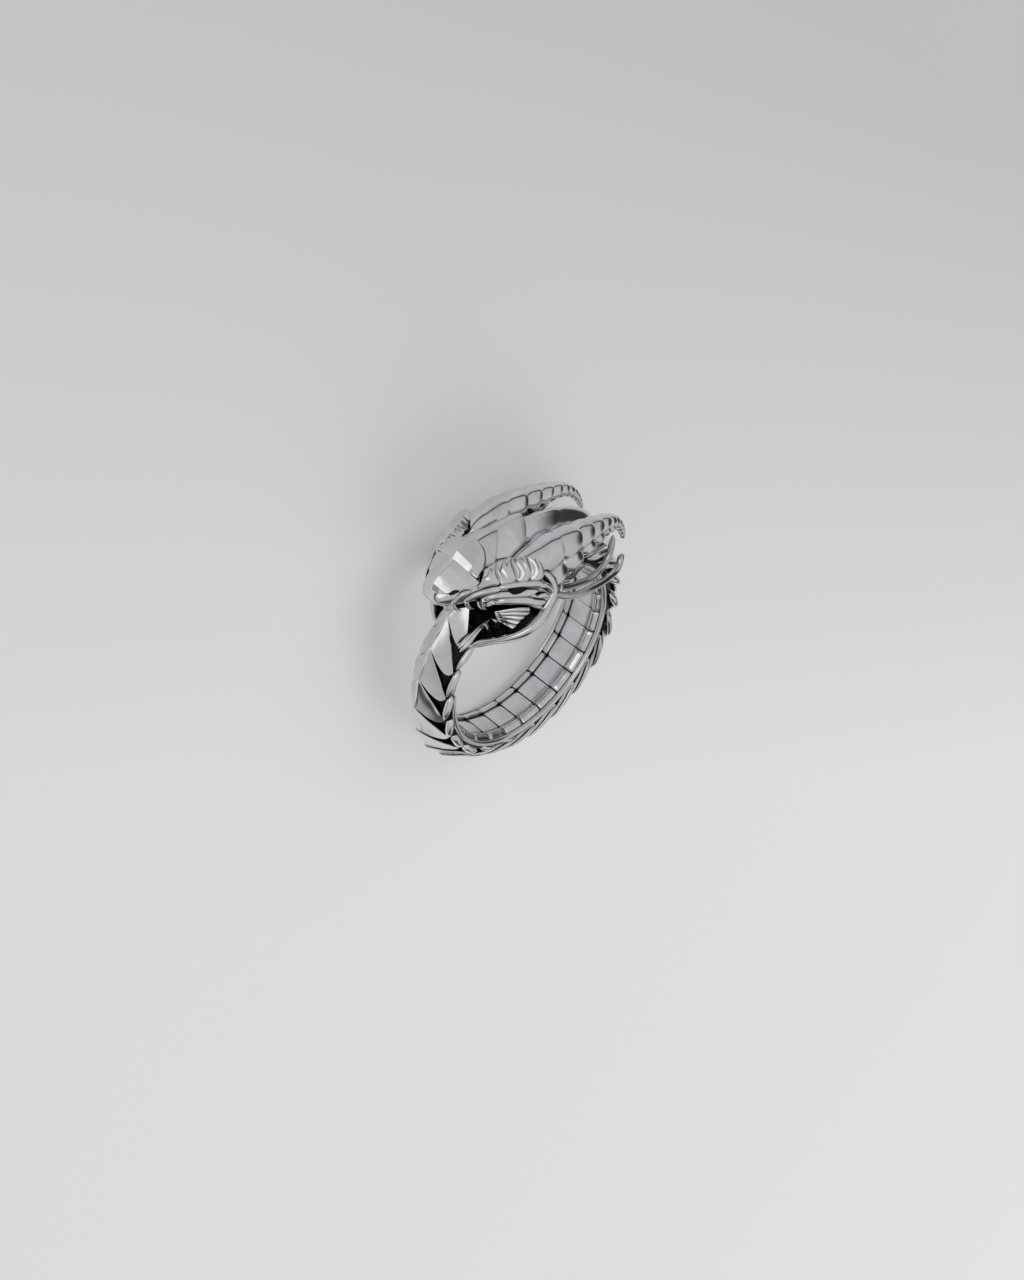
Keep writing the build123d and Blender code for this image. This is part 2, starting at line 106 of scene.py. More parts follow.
def ease(share: float) -> float:
    """A share from 0 to 1 that leaves and arrives gently."""
    share = min(1.0, max(0.0, share))
    return share * share * (3.0 - 2.0 * share)


def hermite(here: Value, there: Value, leaving: Value, arriving: Value, share: float) -> Value:
    """Finds a number or place on a smooth curve.

    Args:
        here: where the curve starts.
        there: where it ends.
        leaving: its slope at the start.
        arriving: its slope at the end.
        share: how far along it to look.

    Returns:
        The number or place there.
    """
    square, cube = share * share, share * share * share
    return (
        here * (2 * cube - 3 * square + 1)
        + leaving * (cube - 2 * square + share)
        + there * (3 * square - 2 * cube)
        + arriving * (cube - square)
    )


def read_table(rows: Table, at: float) -> tuple[float, ...]:
    """Reads a table between its rows.

    Args:
        rows: rows in rising order of their first number.
        at: where to read, in the first column's terms.

    Returns:
        The other columns' values there, on smooth curves through the rows.
    """
    if at <= rows[0][0]:
        return rows[0][1:]
    if at >= rows[-1][0]:
        return rows[-1][1:]
    index = next(i for i in range(1, len(rows)) if at <= rows[i][0]) - 1
    before = rows[max(0, index - 1)]
    here, there = rows[index], rows[index + 1]
    after = rows[min(len(rows) - 1, index + 2)]
    span = there[0] - here[0]
    share = (at - here[0]) / span
    values = []
    for column in range(1, len(here)):
        leaving = (there[column] - before[column]) / (there[0] - before[0]) * span
        arriving = (after[column] - here[column]) / (after[0] - here[0]) * span
        values.append(hermite(here[column], there[column], leaving, arriving, share))
    return tuple(values)


def outward(place: Vector) -> Vector:
    """The direction straight away from the finger's axis at a place."""
    return Vector((place.x, place.y, 0.0)).normalized()


def on_side(place: Vector, side: Side) -> Vector:
    """A place on the near side, moved to either side of the ring's middle plane."""
    return Vector((place.x, place.y, place.z * side.value))


def mirrored(places: Sequence[Vector]) -> list[Vector]:
    """The same places on the far side, in the opposite order."""
    return [on_side(place, Side.FAR) for place in reversed(places)]


@dataclass(frozen=True)
class RingFrame:
    """Where the ring's polar places lie in the part's frame.

    Attributes:
        finger_radius: radius of the finger hole in millimetres.
        lean: the finger axis' lean from the part's Z axis, in radians.
    """

    finger_radius: float
    lean: float

    @classmethod
    def from_record(cls, record: dict) -> Self:
        """Reads the finger hole's mount.

        Args:
            record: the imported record.

        Returns:
            The frame that fits the mount's radius and axis.
        """
        mount = next(m for m in record["mounts"] if m["name"] == "finger_hole")
        axis = mount["axis"]
        return cls(mount["dims"]["r_mm"], math.atan2(-axis[1], axis[2]))

    def spot(self, angle: float, height: float, side: float) -> Vector:
        """Finds a place in the upright frame.

        Args:
            angle: its angle in degrees.
            height: its height over the finger wall.
            side: its distance from the middle plane, above 0 on the near side.

        Returns:
            The place in millimetres.
        """
        reach = self.finger_radius + height
        turn = math.radians(angle)
        return Vector((reach * math.sin(turn), reach * math.cos(turn), side))

    def to_part(self) -> Matrix:
        """The matrix from upright millimetres to the part's metres."""
        return Matrix.Rotation(self.lean, 4, "X") @ Matrix.Scale(MILLIMETRE, 4)


class Skin:
    """A skin that grows section by section, each one pulled out of the last section's edges."""

    def __init__(self, bm: bmesh.types.BMesh, places: Sequence[Vector]) -> None:
        """Starts the skin with a closed end.

        Args:
            bm: the mesh that it grows in.
            places: the first section, a ring of places.
        """
        self.bm = bm
        ring = bmesh.ops.create_circle(bm, cap_ends=True, segments=len(places), radius=1.0)
        self.loop = list(ring["verts"])
        self._move(places)

    def _move(self, places: Sequence[Vector]) -> None:
        """Puts the current section's corners in their places."""
        for corner, place in zip(self.loop, places):
            corner.co = place

    def _edges(self) -> list[bmesh.types.BMEdge]:
        """The current section's edges in order."""
        count = len(self.loop)
        return [self.bm.edges.get((self.loop[i], self.loop[(i + 1) % count])) for i in range(count)]

    def grow(self, places: Sequence[Vector]) -> None:
        """Pulls the skin on to the next section.

        Args:
            places: as many places as the first section has.
        """
        made = bmesh.ops.extrude_edge_only(self.bm, edges=self._edges())
        fresh = {v for v in made["geom"] if isinstance(v, bmesh.types.BMVert)}
        ends = [[edge.other_vert(corner) for edge in corner.link_edges] for corner in self.loop]
        self.loop = [next(end for end in reached if end in fresh) for reached in ends]
        self._move(places)

    def close(self) -> None:
        """Closes the last section with a face."""
        bmesh.ops.contextual_create(self.bm, geom=self._edges())


def loft(bm: bmesh.types.BMesh, sections: Iterable[Sequence[Vector]]) -> None:
    """Makes a closed skin over sections.

    Args:
        bm: the mesh that it is made in.
        sections: rings of places, each with as many places as the first.
    """
    first, *others = sections
    skin = Skin(bm, first)
    for section in others:
        skin.grow(section)
    skin.close()


def plate(bm: bmesh.types.BMesh, across: int, along: int, outer: Shape, inner: Shape) -> None:
    """Bends a flat grid into a closed plate.

    Args:
        bm: the mesh that it is made in.
        across: faces across the plate.
        along: faces along the plate.
        outer: the outer skin's place at two shares that run from 0 to 1, across and along.
        inner: the inner skin's place at the same shares.
    """
    made = bmesh.ops.create_grid(bm, x_segments=across, y_segments=along, size=1.0)
    under = made["verts"]
    faces = list(dict.fromkeys(face for corner in under for face in corner.link_faces))
    grown = bmesh.ops.extrude_face_region(bm, geom=faces, use_keep_orig=True)
    over = [v for v in grown["geom"] if isinstance(v, bmesh.types.BMVert)]
    for corners, shape in ((under, inner), (over, outer)):
        for corner in corners:
            corner.co = shape((corner.co.x + 1.0) / 2.0, (corner.co.y + 1.0) / 2.0)


def both_sides(bm: bmesh.types.BMesh) -> None:
    """Adds the same forms on the other side of the ring's middle plane."""
    everything = list(bm.verts) + list(bm.edges) + list(bm.faces)
    bmesh.ops.mirror(bm, geom=everything, matrix=Matrix.Identity(4), merge_dist=0.0, axis="Z")


def smooth_line(places: Sequence[Vector], steps: int) -> list[Vector]:
    """Draws a smooth line through a few places.

    Args:
        places: the places that it passes.
        steps: how many stretches each span between two places is divided into.

    Returns:
        The points from the first place to the last.
    """
    line = []
    for index in range(len(places) - 1):
        before = places[max(0, index - 1)]
        here, there = places[index], places[index + 1]
        after = places[min(len(places) - 1, index + 2)]
        leaving, arriving = (there - before) / 2.0, (after - here) / 2.0
        line += [hermite(here, there, leaving, arriving, step / steps) for step in range(steps)]
    line.append(places[-1].copy())
    return line


def rod(
    bm: bmesh.types.BMesh,
    places: Sequence[Vector],
    girth: Girth,
    sides: int = 10,
    steps: int = 5,
    lift: Vector | None = None,
) -> None:
    """Makes a closed rod along a smooth line.

    Args:
        bm: the mesh that it is made in.
        places: the places that its middle passes.
        girth: half the rod's width and half its height at a share of its length.
        sides: corners of its section.
        steps: sections for each span.
        lift: the direction in which its height is measured; straight out from the finger by default.
    """
    line = smooth_line(places, steps)
    sections = []
    for index, centre in enumerate(line):
        ahead = line[min(index + 1, len(line) - 1)] - line[max(index - 1, 0)]
        ahead.normalize()
        across = ahead.cross(outward(centre) if lift is None else lift).normalized()
        rise = across.cross(ahead)
        wide, tall = girth(index / (len(line) - 1))
        sections.append([
            centre + across * (wide * math.cos(turn)) + rise * (tall * math.sin(turn))
            for turn in circle(sides)
        ])
    loft(bm, sections)


def leaf(front: float, back: float, width: float, rise: float | None = None) -> Girth:
    """Makes a girth for a rod that swells from one tip and fades to the other.

    Args:
        front: share of the length over which it swells.
        back: share of the length over which it fades.
        width: its full half width.
        rise: its full half height, the same as the half width by default.

    Returns:
        The half width and half height at a share of the length.
    """
    tall = width if rise is None else rise
    thinnest = 0.06

    def girth(share: float) -> tuple[float, float]:
        """Swells and fades the full girth.

        Args:
            share: share of the rod's length.

        Returns:
            The half width and half height there.
        """
        swell = min(1.0, share / front) if front > 0.0 else 1.0
        fade = min(1.0, (1.0 - share) / back) if back > 0.0 else 1.0
        round_ends = math.sin(swell * math.pi / 2.0) ** 0.8 * math.sin(fade * math.pi / 2.0) ** 0.8
        full = max(thinnest, round_ends)
        return width * full, tall * full

    return girth


def group_socket(
    tree: bpy.types.NodeTree, name: str, direction: str, kind: str, value: float | None = None
) -> None:
    """Adds a named socket to a shader group.

    Args:
        tree: the group.
        name: the socket's name.
        direction: INPUT or OUTPUT.
        kind: the socket's type.
        value: its value where nothing is linked.
    """
    socket = tree.interface.new_socket(name=name, in_out=direction, socket_type=kind)
    if value is not None:
        socket.default_value = value


def mix_colours(
    tree: bpy.types.NodeTree,
    mask: bpy.types.NodeSocket,
    first: Colour | bpy.types.NodeSocket,
    second: Colour | bpy.types.NodeSocket,
) -> bpy.types.NodeSocket:
    """Mixes two colours by a mask.

    Args:
        tree: the nodes that the mix is added to.
        mask: the output that gives 0 for the first colour and 1 for the second.
        first: a colour, or the output that gives one.
        second: the same for the other colour.

    Returns:
        The output that gives the mixed colour.
    """
    mix = tree.nodes.new("ShaderNodeMix")
    mix.data_type = "RGBA"
    tree.links.new(mask, mix.inputs["Factor"])
    for name, colour in (("A", first), ("B", second)):
        if isinstance(colour, bpy.types.NodeSocket):
            tree.links.new(colour, mix.inputs[name])
        else:
            mix.inputs[name].default_value = (*colour, 1.0)
    return mix.outputs["Result"]


class ShaderGroups:
    """The effects that more than one finish uses, each built once."""

    @staticmethod
    def recess() -> bpy.types.NodeTree:
        """The mask of open metal against recesses, where painted shade darkens the metal.

        Returns:
            A group whose Open is 1 on open metal and 0 deep in a recess.
        """
        found = bpy.data.node_groups.get("recess")
        if found:
            return found
        tree = bpy.data.node_groups.new("recess", "ShaderNodeTree")
        group_socket(tree, "Distance", "INPUT", "NodeSocketFloat", 0.0005)
        group_socket(tree, "Black below", "INPUT", "NodeSocketFloat", 0.3)
        group_socket(tree, "Open above", "INPUT", "NodeSocketFloat", 0.7)
        group_socket(tree, "Open", "OUTPUT", "NodeSocketFloat")
        given = tree.nodes.new("NodeGroupInput")
        result = tree.nodes.new("NodeGroupOutput")
        # painted shade: the metal's openness comes from ambient occlusion, so recesses go dark as shade would
        # make them
        hollow = tree.nodes.new("ShaderNodeAmbientOcclusion")
        hollow.samples = 6
        ramp = tree.nodes.new("ShaderNodeMapRange")
        ramp.interpolation_type = "SMOOTHSTEP"
        tree.links.new(given.outputs["Distance"], hollow.inputs["Distance"])
        tree.links.new(hollow.outputs["AO"], ramp.inputs["Value"])
        tree.links.new(given.outputs["Black below"], ramp.inputs["From Min"])
        tree.links.new(given.outputs["Open above"], ramp.inputs["From Max"])
        tree.links.new(ramp.outputs["Result"], result.inputs["Open"])
        return tree

    @staticmethod
    def clouds() -> bpy.types.NodeTree:
        """Soft patches left by hand polishing.

        Returns:
            A group whose Patch varies softly between 0 and 1 over the metal.
        """
        found = bpy.data.node_groups.get("polish_clouds")
        if found:
            return found
        tree = bpy.data.node_groups.new("polish_clouds", "ShaderNodeTree")
        group_socket(tree, "Scale", "INPUT", "NodeSocketFloat", 300.0)
        group_socket(tree, "Patch", "OUTPUT", "NodeSocketFloat")
        given = tree.nodes.new("NodeGroupInput")
        result = tree.nodes.new("NodeGroupOutput")
        place = tree.nodes.new("ShaderNodeTexCoord")
        noise = tree.nodes.new("ShaderNodeTexNoise")
        noise.inputs["Detail"].default_value = 3.0
        noise.inputs["Roughness"].default_value = 0.55
        noise.inputs["Distortion"].default_value = 0.6
        ramp = tree.nodes.new("ShaderNodeMapRange")
        ramp.inputs["From Min"].default_value = 0.3
        ramp.inputs["From Max"].default_value = 0.7
        tree.links.new(place.outputs["Object"], noise.inputs["Vector"])
        tree.links.new(given.outputs["Scale"], noise.inputs["Scale"])
        tree.links.new(noise.outputs["Fac"], ramp.inputs["Value"])
        tree.links.new(ramp.outputs["Result"], result.inputs["Patch"])
        return tree


def place_group(tree: bpy.types.NodeTree, group: bpy.types.NodeTree, **values: float) -> bpy.types.Node:
    """Puts a shader group into a material.

    Args:
        tree: the material's nodes.
        group: the group.
        **values: the group's input values, with underscores for spaces.

    Returns:
        The group's node.
    """
    node = tree.nodes.new("ShaderNodeGroup")
    node.node_tree = group
    for name, value in values.items():
        node.inputs[name.replace("_", " ")].default_value = value
    return node


@dataclass(frozen=True)
class Metal:
    """Metal whose colour and gloss change softly from patch to patch.

    Attributes:
        name: the material's name.
        colour: its colour between the patches.
        patch_shade: how bright its patches are beside that colour.
        polish: its roughness between the patches.
        satin: how much rougher its patches are.
        patch_scale: how fine the patches are.
    """

    name: str
    colour: Colour
    patch_shade: float
    polish: float
    satin: float
    patch_scale: float

    def material(self) -> bpy.types.Material:
        """Builds the finish unless it is built already.

        Returns:
            The finish's material.
        """
        found = bpy.data.materials.get(self.name)
        if found:
            return found
        made = bpy.data.materials.new(self.name)
        made.use_nodes = True
        tree = made.node_tree
        surface = tree.nodes["Principled BSDF"]
        surface.inputs["Metallic"].default_value = 1.0
        patch = place_group(tree, ShaderGroups.clouds(), Scale=self.patch_scale).outputs["Patch"]
        patches = tuple(part * self.patch_shade for part in self.colour)
        metal = mix_colours(tree, patch, self.colour, patches)
        # painted shade in the recesses, where the finish has it
        tree.links.new(self.paint_recess_shade(tree, metal), surface.inputs["Base Color"])
        gloss = tree.nodes.new("ShaderNodeMapRange")
        gloss.inputs["To Min"].default_value = self.polish
        gloss.inputs["To Max"].default_value = self.polish + self.satin
        tree.links.new(patch, gloss.inputs["Value"])
        tree.links.new(gloss.outputs["Result"], surface.inputs["Roughness"])
        return made

    def paint_recess_shade(self, tree: bpy.types.NodeTree, metal: bpy.types.NodeSocket) -> bpy.types.NodeSocket:
        """The metal's colour as it is, because this finish paints no shade in recesses."""
        return metal


@dataclass(frozen=True)
class RecessShadedMetal(Metal):
    """Metal that is polished where it is open and darkened with painted shade in its recesses.

    Attributes:
        dark: the colour of the painted shade in the recesses.
        recess_mm: how far a wall shades the metal, in millimetres.
        black_below: the openness under which the painted shade makes the metal quite black.
        open_above: the openness over which it is quite bright.
    """

    dark: Colour = (0.012, 0.012, 0.013)
    recess_mm: float = 0.8
    black_below: float = 0.28
    open_above: float = 0.62

    def paint_recess_shade(self, tree: bpy.types.NodeTree, metal: bpy.types.NodeSocket) -> bpy.types.NodeSocket:
        """Paints shade on the metal where it lies deep.

        Args:
            tree: the material's nodes.
            metal: the output that gives the open metal's colour.

        Returns:
            The output that gives the colour with the painted shade in its recesses.
        """
        recess = place_group(
            tree,
            ShaderGroups.recess(),
            Distance=self.recess_mm * MILLIMETRE,
            Black_below=self.black_below,
            Open_above=self.open_above,
        )
        return mix_colours(tree, recess.outputs["Open"], self.dark, metal)


# painted shade: the silver finishes are darkened to near black deep in recesses
SILVER = RecessShadedMetal(
    "polished_silver", (0.80, 0.80, 0.815), patch_shade=0.84, polish=0.11, satin=0.08, patch_scale=480.0
)
# painted shade: a darker copy of the silver, for the dark that the whiskers reflect
SHADED_SILVER = RecessShadedMetal(
    "shaded_silver", (0.60, 0.60, 0.585), patch_shade=0.75, polish=0.09, satin=0.08, patch_scale=480.0
)
# painted shadow: a near-black metal for the band's core, the eye slits and nostrils and the sheets in the
# mouth
SHADOW_BLACK = Metal(
    "painted_shadow_black", (0.010, 0.010, 0.011), patch_shade=3.0, polish=0.38, satin=0.15, patch_scale=900.0
)


@dataclass
class Workshop:
    """Turns finished forms into pieces of the ring.

    Attributes:
        frame: where the ring's places lie.
        made: the pieces that are finished.
        weld: how near to each other two corners become one, in millimetres.
        snout_start: the angle from which the head grows slimmer towards the snout.
        snout_span: the degrees over which it does so.
        snout_slimness: what share of its width is left there.
    """

    frame: RingFrame
    made: list[bpy.types.Object] = field(default_factory=list)
    weld: float = 1e-4
    snout_start: float = -20.0
    snout_span: float = 13.0
    snout_slimness: float = 0.72

    def piece(
        self,
        name: str,
        bm: bmesh.types.BMesh,
        finish: Metal,
        sharp: float = 60.0,
        subdivide: int = 0,
        edge_width: float = 0.0,
        slim: bool = False,
    ) -> bpy.types.Object:
        """Closes a form and makes it a piece that rides on the ring's body.

        Args:
            name: the piece's name.
            bm: the form, upright and in millimetres. It is freed.
            finish: its finish.
            sharp: edges that turn more than this many degrees stay sharp.
            subdivide: levels of the Subdivision Surface that finishes it.
            edge_width: how far its sharp edges are rounded, in millimetres.
            slim: whether it is drawn in towards the snout.

        Returns:
            The piece.
        """
        bmesh.ops.remove_doubles(bm, verts=bm.verts, dist=self.weld)
        bmesh.ops.recalc_face_normals(bm, faces=bm.faces)
        if slim:
            self._draw_in(bm)
        bmesh.ops.transform(bm, matrix=self.frame.to_part(), verts=bm.verts)
        mesh = bpy.data.meshes.new(name)
        bm.to_mesh(mesh)
        bm.free()
        mesh.polygons.foreach_set("use_smooth", [True] * len(mesh.polygons))
        mesh.materials.append(finish.material())
        made = bpy.data.objects.new(name, mesh)
        bpy.context.scene.collection.objects.link(made)
        if edge_width > 0.0:
            rounding = made.modifiers.new("edges", "BEVEL")
            rounding.width = edge_width * MILLIMETRE
            rounding.segments = 2
            rounding.limit_method = "ANGLE"
            rounding.angle_limit = math.radians(sharp)
            rounding.harden_normals = True
        elif subdivide:
            surface = made.modifiers.new("surface", "SUBSURF")
            surface.levels = surface.render_levels = subdivide
        else:
            mesh.set_sharp_from_angle(angle=math.radians(sharp))
        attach(made, "root")
        self.made.append(made)
        return made

    def _draw_in(self, bm: bmesh.types.BMesh) -> None:
        """Makes a form slimmer towards the snout.

        Args:
            bm: the form, upright and in millimetres.
        """
        for corner in bm.verts:
            angle = math.degrees(math.atan2(corner.co.x, corner.co.y))
            share = ease((self.snout_start - angle) / self.snout_span)
            corner.co.z *= lerp(1.0, self.snout_slimness, share)


@dataclass
class SubAssembly:
    """A part of the ring's forms, whose pieces a workshop makes.

    Attributes:
        shop: the workshop.
    """

    shop: Workshop

    def spot(self, angle: float, height: float, side: float) -> Vector:
        """The upright place at an angle in degrees, a height over the finger wall and a side."""
        return self.shop.frame.spot(angle, height, side)

    def route(self, spots: Iterable[Spot]) -> list[Vector]:
        """The upright places of rows of angle, height and side."""
        return [self.spot(*spot) for spot in spots]


@dataclass
class BellyBand(SubAssembly):
    """The band against the finger: flat plates, and a cushion on each side of every plate.

    Attributes:
        start: the angle of the first plate's middle.
        pitch: the angle from plate to plate.
        count: the plates that have cushions.
        plates_beyond: the plates after them that have none.
        gap: half the gap between two plates, in degrees.
        plate_half_width: half a plate's width.
        plate_depth: a plate's thickness.
        plate_back: how far its middle stands back from the finger wall.
        plate_edge: how much further its side edges stand back.
        corner_cuts: how much is taken off its corners, as shares of its width and its length.
        tilt: how far its first end stands back behind its last.
        flatness: 0 for a plate that follows the finger and 1 for a flat one.
        cushion_middle: the side at which a cushion's middle lies.
        cushion_half_width: half a cushion's width.
        cushion_depth: a cushion's thickness.
        cushion_rise: how far it swells towards the finger.
        cushion_back: how far its rim stands back from the finger wall.
        cushion_slope: how much further its outer rim stands back.
        cushion_cut: how much is taken off its corners, as a share of its half width.
    """

    start: float = 23.0
    pitch: float = 14.0
    count: int = 20
    plates_beyond: int = 1
    gap: float = 0.22
    plate_half_width: float = 1.34
    plate_depth: float = 0.45
    plate_back: float = 0.02
    plate_edge: float = 0.12
    corner_cuts: tuple[float, float] = (0.07, 0.05)
    tilt: float = 0.07
    flatness: float = 0.8
    cushion_middle: float = 1.80
    cushion_half_width: float = 0.41
    cushion_depth: float = 0.4
    cushion_rise: float = 0.28
    cushion_back: float = 0.24
    cushion_slope: float = 0.20
    cushion_cut: float = 0.12

    def _plate_place(self, middle: float, across: float, along: float, depth: float) -> Vector:
        """Finds a place on a plate.

        Args:
            middle: the angle of the plate's middle.
            across: share across the plate, from -1 to 1.
            along: share along the plate, from -1 to 1.
            depth: distance behind the finger side.

        Returns:
            The upright place.
        """
        half = self.pitch / 2.0 - self.gap
        width_cut, length_cut = self.corner_cuts
        side = self.plate_half_width * across * (1.0 - width_cut * across**2 * along**8)
        angle = middle + half * along * (1.0 - length_cut * across**8)
        flat = self.shop.frame.finger_radius * (1.0 / math.cos(math.radians(half * along)) - 1.0)
        height = self.plate_back + self.plate_edge * across**6 + flat * self.flatness
        return self.spot(angle, height + self.tilt * (1.0 - along) / 2.0 + depth, side)

    def _cushion_place(self, middle: float, across: float, along: float, depth: float) -> Vector:
        """Finds a place on a near cushion, in the same terms as on a plate.

        Args:
            middle: the angle of the cushion's middle.
            across: share across the cushion, from -1 to 1.
            along: share along the cushion, from -1 to 1.
            depth: distance behind the finger side.

        Returns:
            The upright place.
        """
        half = self.pitch / 2.0 - self.gap
        over, ahead = math.sin(across * math.pi / 2.0), math.sin(along * math.pi / 2.0)
        swell = (max(0.0, 1.0 - abs(over) ** 3.0) * max(0.0, 1.0 - abs(ahead) ** 6.0)) ** 0.45
        side = self.cushion_middle + self.cushion_half_width * over * (1.0 - self.cushion_cut * ahead**8)
        height = self.cushion_back + self.cushion_slope * over - self.cushion_rise * swell + depth
        return self.spot(middle + half * ahead, height, side)

    def _row(
        self, count: int, faces: int, place: Callable[[float, float, float, float], Vector], depth: float
    ) -> bmesh.types.BMesh:
        """Makes a row of closed forms.

        Args:
            count: how many there are.
            faces: faces along each.
            place: finds a place on one from its middle, two shares and a depth.
            depth: how thick each is.

        Returns:
            The mesh that holds them.
        """
        bm = bmesh.new()
        for index in range(count):
            middle = self.start + index * self.pitch
            plate(
                bm,
                across=8,
                along=faces,
                outer=lambda u, v: place(middle, 2 * u - 1, 2 * v - 1, 0.0),
                inner=lambda u, v: place(middle, 2 * u - 1, 2 * v - 1, depth),
            )
        return bm

    def build(self) -> None:
        """Makes the plates, then the cushions beside them."""
        plates = self._row(self.count + self.plates_beyond, 8, self._plate_place, self.plate_depth)
        self.shop.piece("belly_plates", plates, SILVER, sharp=40.0, edge_width=0.05)
        cushions = self._row(self.count, 12, self._cushion_place, self.cushion_depth)
        both_sides(cushions)
        self.shop.piece("belly_cushions", cushions, SILVER, sharp=50.0)


@dataclass
class SideBand(SubAssembly):
    """The band's core, near black as painted shadow, the rail along each edge of the finger hole and the
    beads above it.

    Attributes:
        start: the angle at which the core and the rails start.
        end: the angle at which the core ends.
        core_profile: half the core's section as rows of height and side, from the finger to its ridge.
        swell_above: the height above which the core swells by the neck.
        neck_swell: how much higher it is there.
        taper_end: the angle at which the swelling ends.
        narrow_from: the angle from which the core narrows towards the tail.
        narrow_span: the degrees over which it does so.
        narrow_share: what share of its width is left.
        rail_height: the height of the rail's middle.
        rail_side: the side of the rail's middle.
        rail_radius: the rail's radius.
        rail_end: the angle at which the rails end.
        rail_fade: the degrees over which they thin out.
        rail_tip: the share at which their end's thinness stops.
        bead_start: the first bead's angle.
        bead_pitch: the angle from bead to bead.
        bead_count: how many beads there are on each side.
        bead_side: the side at which they lie.
        bead_route: rows of a share of a bead's half length, a share of its slant and a step sideways.
        strand_route: the same for the thinner strand beside each bead.
        strand_share: the strand's radius beside the bead's.
        bead_forms: rows of angle, then a bead's half length in degrees, half its slant, its radius and
            its height there.
    """

    start: float = 12.0
    end: float = 322.0
    core_profile: Table = (
        (0.34, 0.0), (0.36, 1.5), (0.52, 2.1), (0.6, 2.45), (1.1, 2.3), (1.45, 1.6), (2.3, 0.3),
    )
    swell_above: float = 1.0
    neck_swell: float = 1.6
    taper_end: float = 230.0
    narrow_from: float = 266.0
    narrow_span: float = 18.0
    narrow_share: float = 0.82
    rail_height: float = 0.45
    rail_side: float = 2.42
    rail_radius: float = 0.27
    rail_end: float = 282.0
    rail_fade: float = 26.0
    rail_tip: float = 0.15
    bead_start: float = 195.5
    bead_pitch: float = 15.9
    bead_count: int = 8
    bead_side: float = 2.12
    bead_route: Table = ((-1.0, 1.0, -0.06), (0.0, 0.0, 0.04), (1.0, -1.0, 0.0))
    strand_route: Table = ((-0.9, 0.2, 0.0), (-0.1, -0.75, 0.12), (0.9, -1.6, 0.05))
    strand_share: float = 0.5
    bead_forms: Table = (
        (190.0, 6.4, 0.30, 0.30, 1.10),
        (210.0, 7.2, 0.30, 0.40, 1.22),
        (227.0, 7.6, 0.22, 0.48, 1.30),
        (243.0, 7.8, 0.14, 0.48, 1.14),
        (262.0, 7.2, 0.46, 0.45, 1.14),
        (290.0, 8.2, 0.34, 0.42, 1.03),
        (308.0, 8.2, 0.36, 0.37, 0.68),
    )

    def _core_section(self, angle: float) -> list[Vector]:
        """Shapes the core at an angle.

        Args:
            angle: where along the ring.

        Returns:
            Places in a closed ring.
        """
        swell = lerp(self.neck_swell, 1.0, min(1.0, angle / self.taper_end))
        slim = lerp(1.0, self.narrow_share, ease((angle - self.narrow_from) / self.narrow_span))
        near = [
            self.spot(angle, height if height < self.swell_above else height * swell, side * slim)
            for height, side in self.core_profile
        ]
        return near + mirrored(near[1:])

    def _rail_section(self, angle: float) -> list[Vector]:
        """Shapes the near rail at an angle.

        Args:
            angle: where along the ring.

        Returns:
            Places in a closed ring.
        """
        left = self.rail_tip + (self.rail_end - angle) / self.rail_fade
        radius = self.rail_radius * min(1.0, left) ** 0.5
        height, side = self.rail_height, self.rail_side
        return [
            self.spot(angle, height + radius * math.sin(turn), side + radius * math.cos(turn))
            for turn in circle(12)
        ]

    def _bead_line(self, angle: float, route: Table) -> list[Vector]:
        """Leads a bead or its strand along the ring.

        Args:
            angle: the bead's angle.
            route: rows of a share of its half length, a share of its slant and a step sideways.

        Returns:
            The upright places that it passes.
        """
        half, slant, _, height = read_table(self.bead_forms, angle)
        return [
            self.spot(angle + half * ahead, height + slant * up, self.bead_side + aside)
            for ahead, up, aside in route
        ]

    def build(self) -> None:
        """Makes the core, which stands for the casting, then the rails and the beads."""
        bm = bmesh.new()
        loft(bm, (self._core_section(angle) for angle in spread(self.start, self.end, 100)))
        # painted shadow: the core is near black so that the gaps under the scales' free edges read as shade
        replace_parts(self.shop.piece("band_core", bm, SHADOW_BLACK, sharp=50.0), "cast_ring")
        bm = bmesh.new()
        loft(bm, (self._rail_section(angle) for angle in spread(self.start, self.rail_end, 150)))
        both_sides(bm)
        self.shop.piece("side_rails", bm, SILVER)
        bm = bmesh.new()
        for index in range(self.bead_count):
            angle = self.bead_start + index * self.bead_pitch
            radius = read_table(self.bead_forms, angle)[2]
            rod(bm, self._bead_line(angle, self.bead_route), leaf(0.45, 0.26, radius), sides=16, steps=7)
            thin = radius * self.strand_share
            rod(bm, self._bead_line(angle, self.strand_route), leaf(0.5, 0.4, thin), sides=10, steps=5)
        both_sides(bm)
        self.shop.piece("side_beads", bm, SILVER)


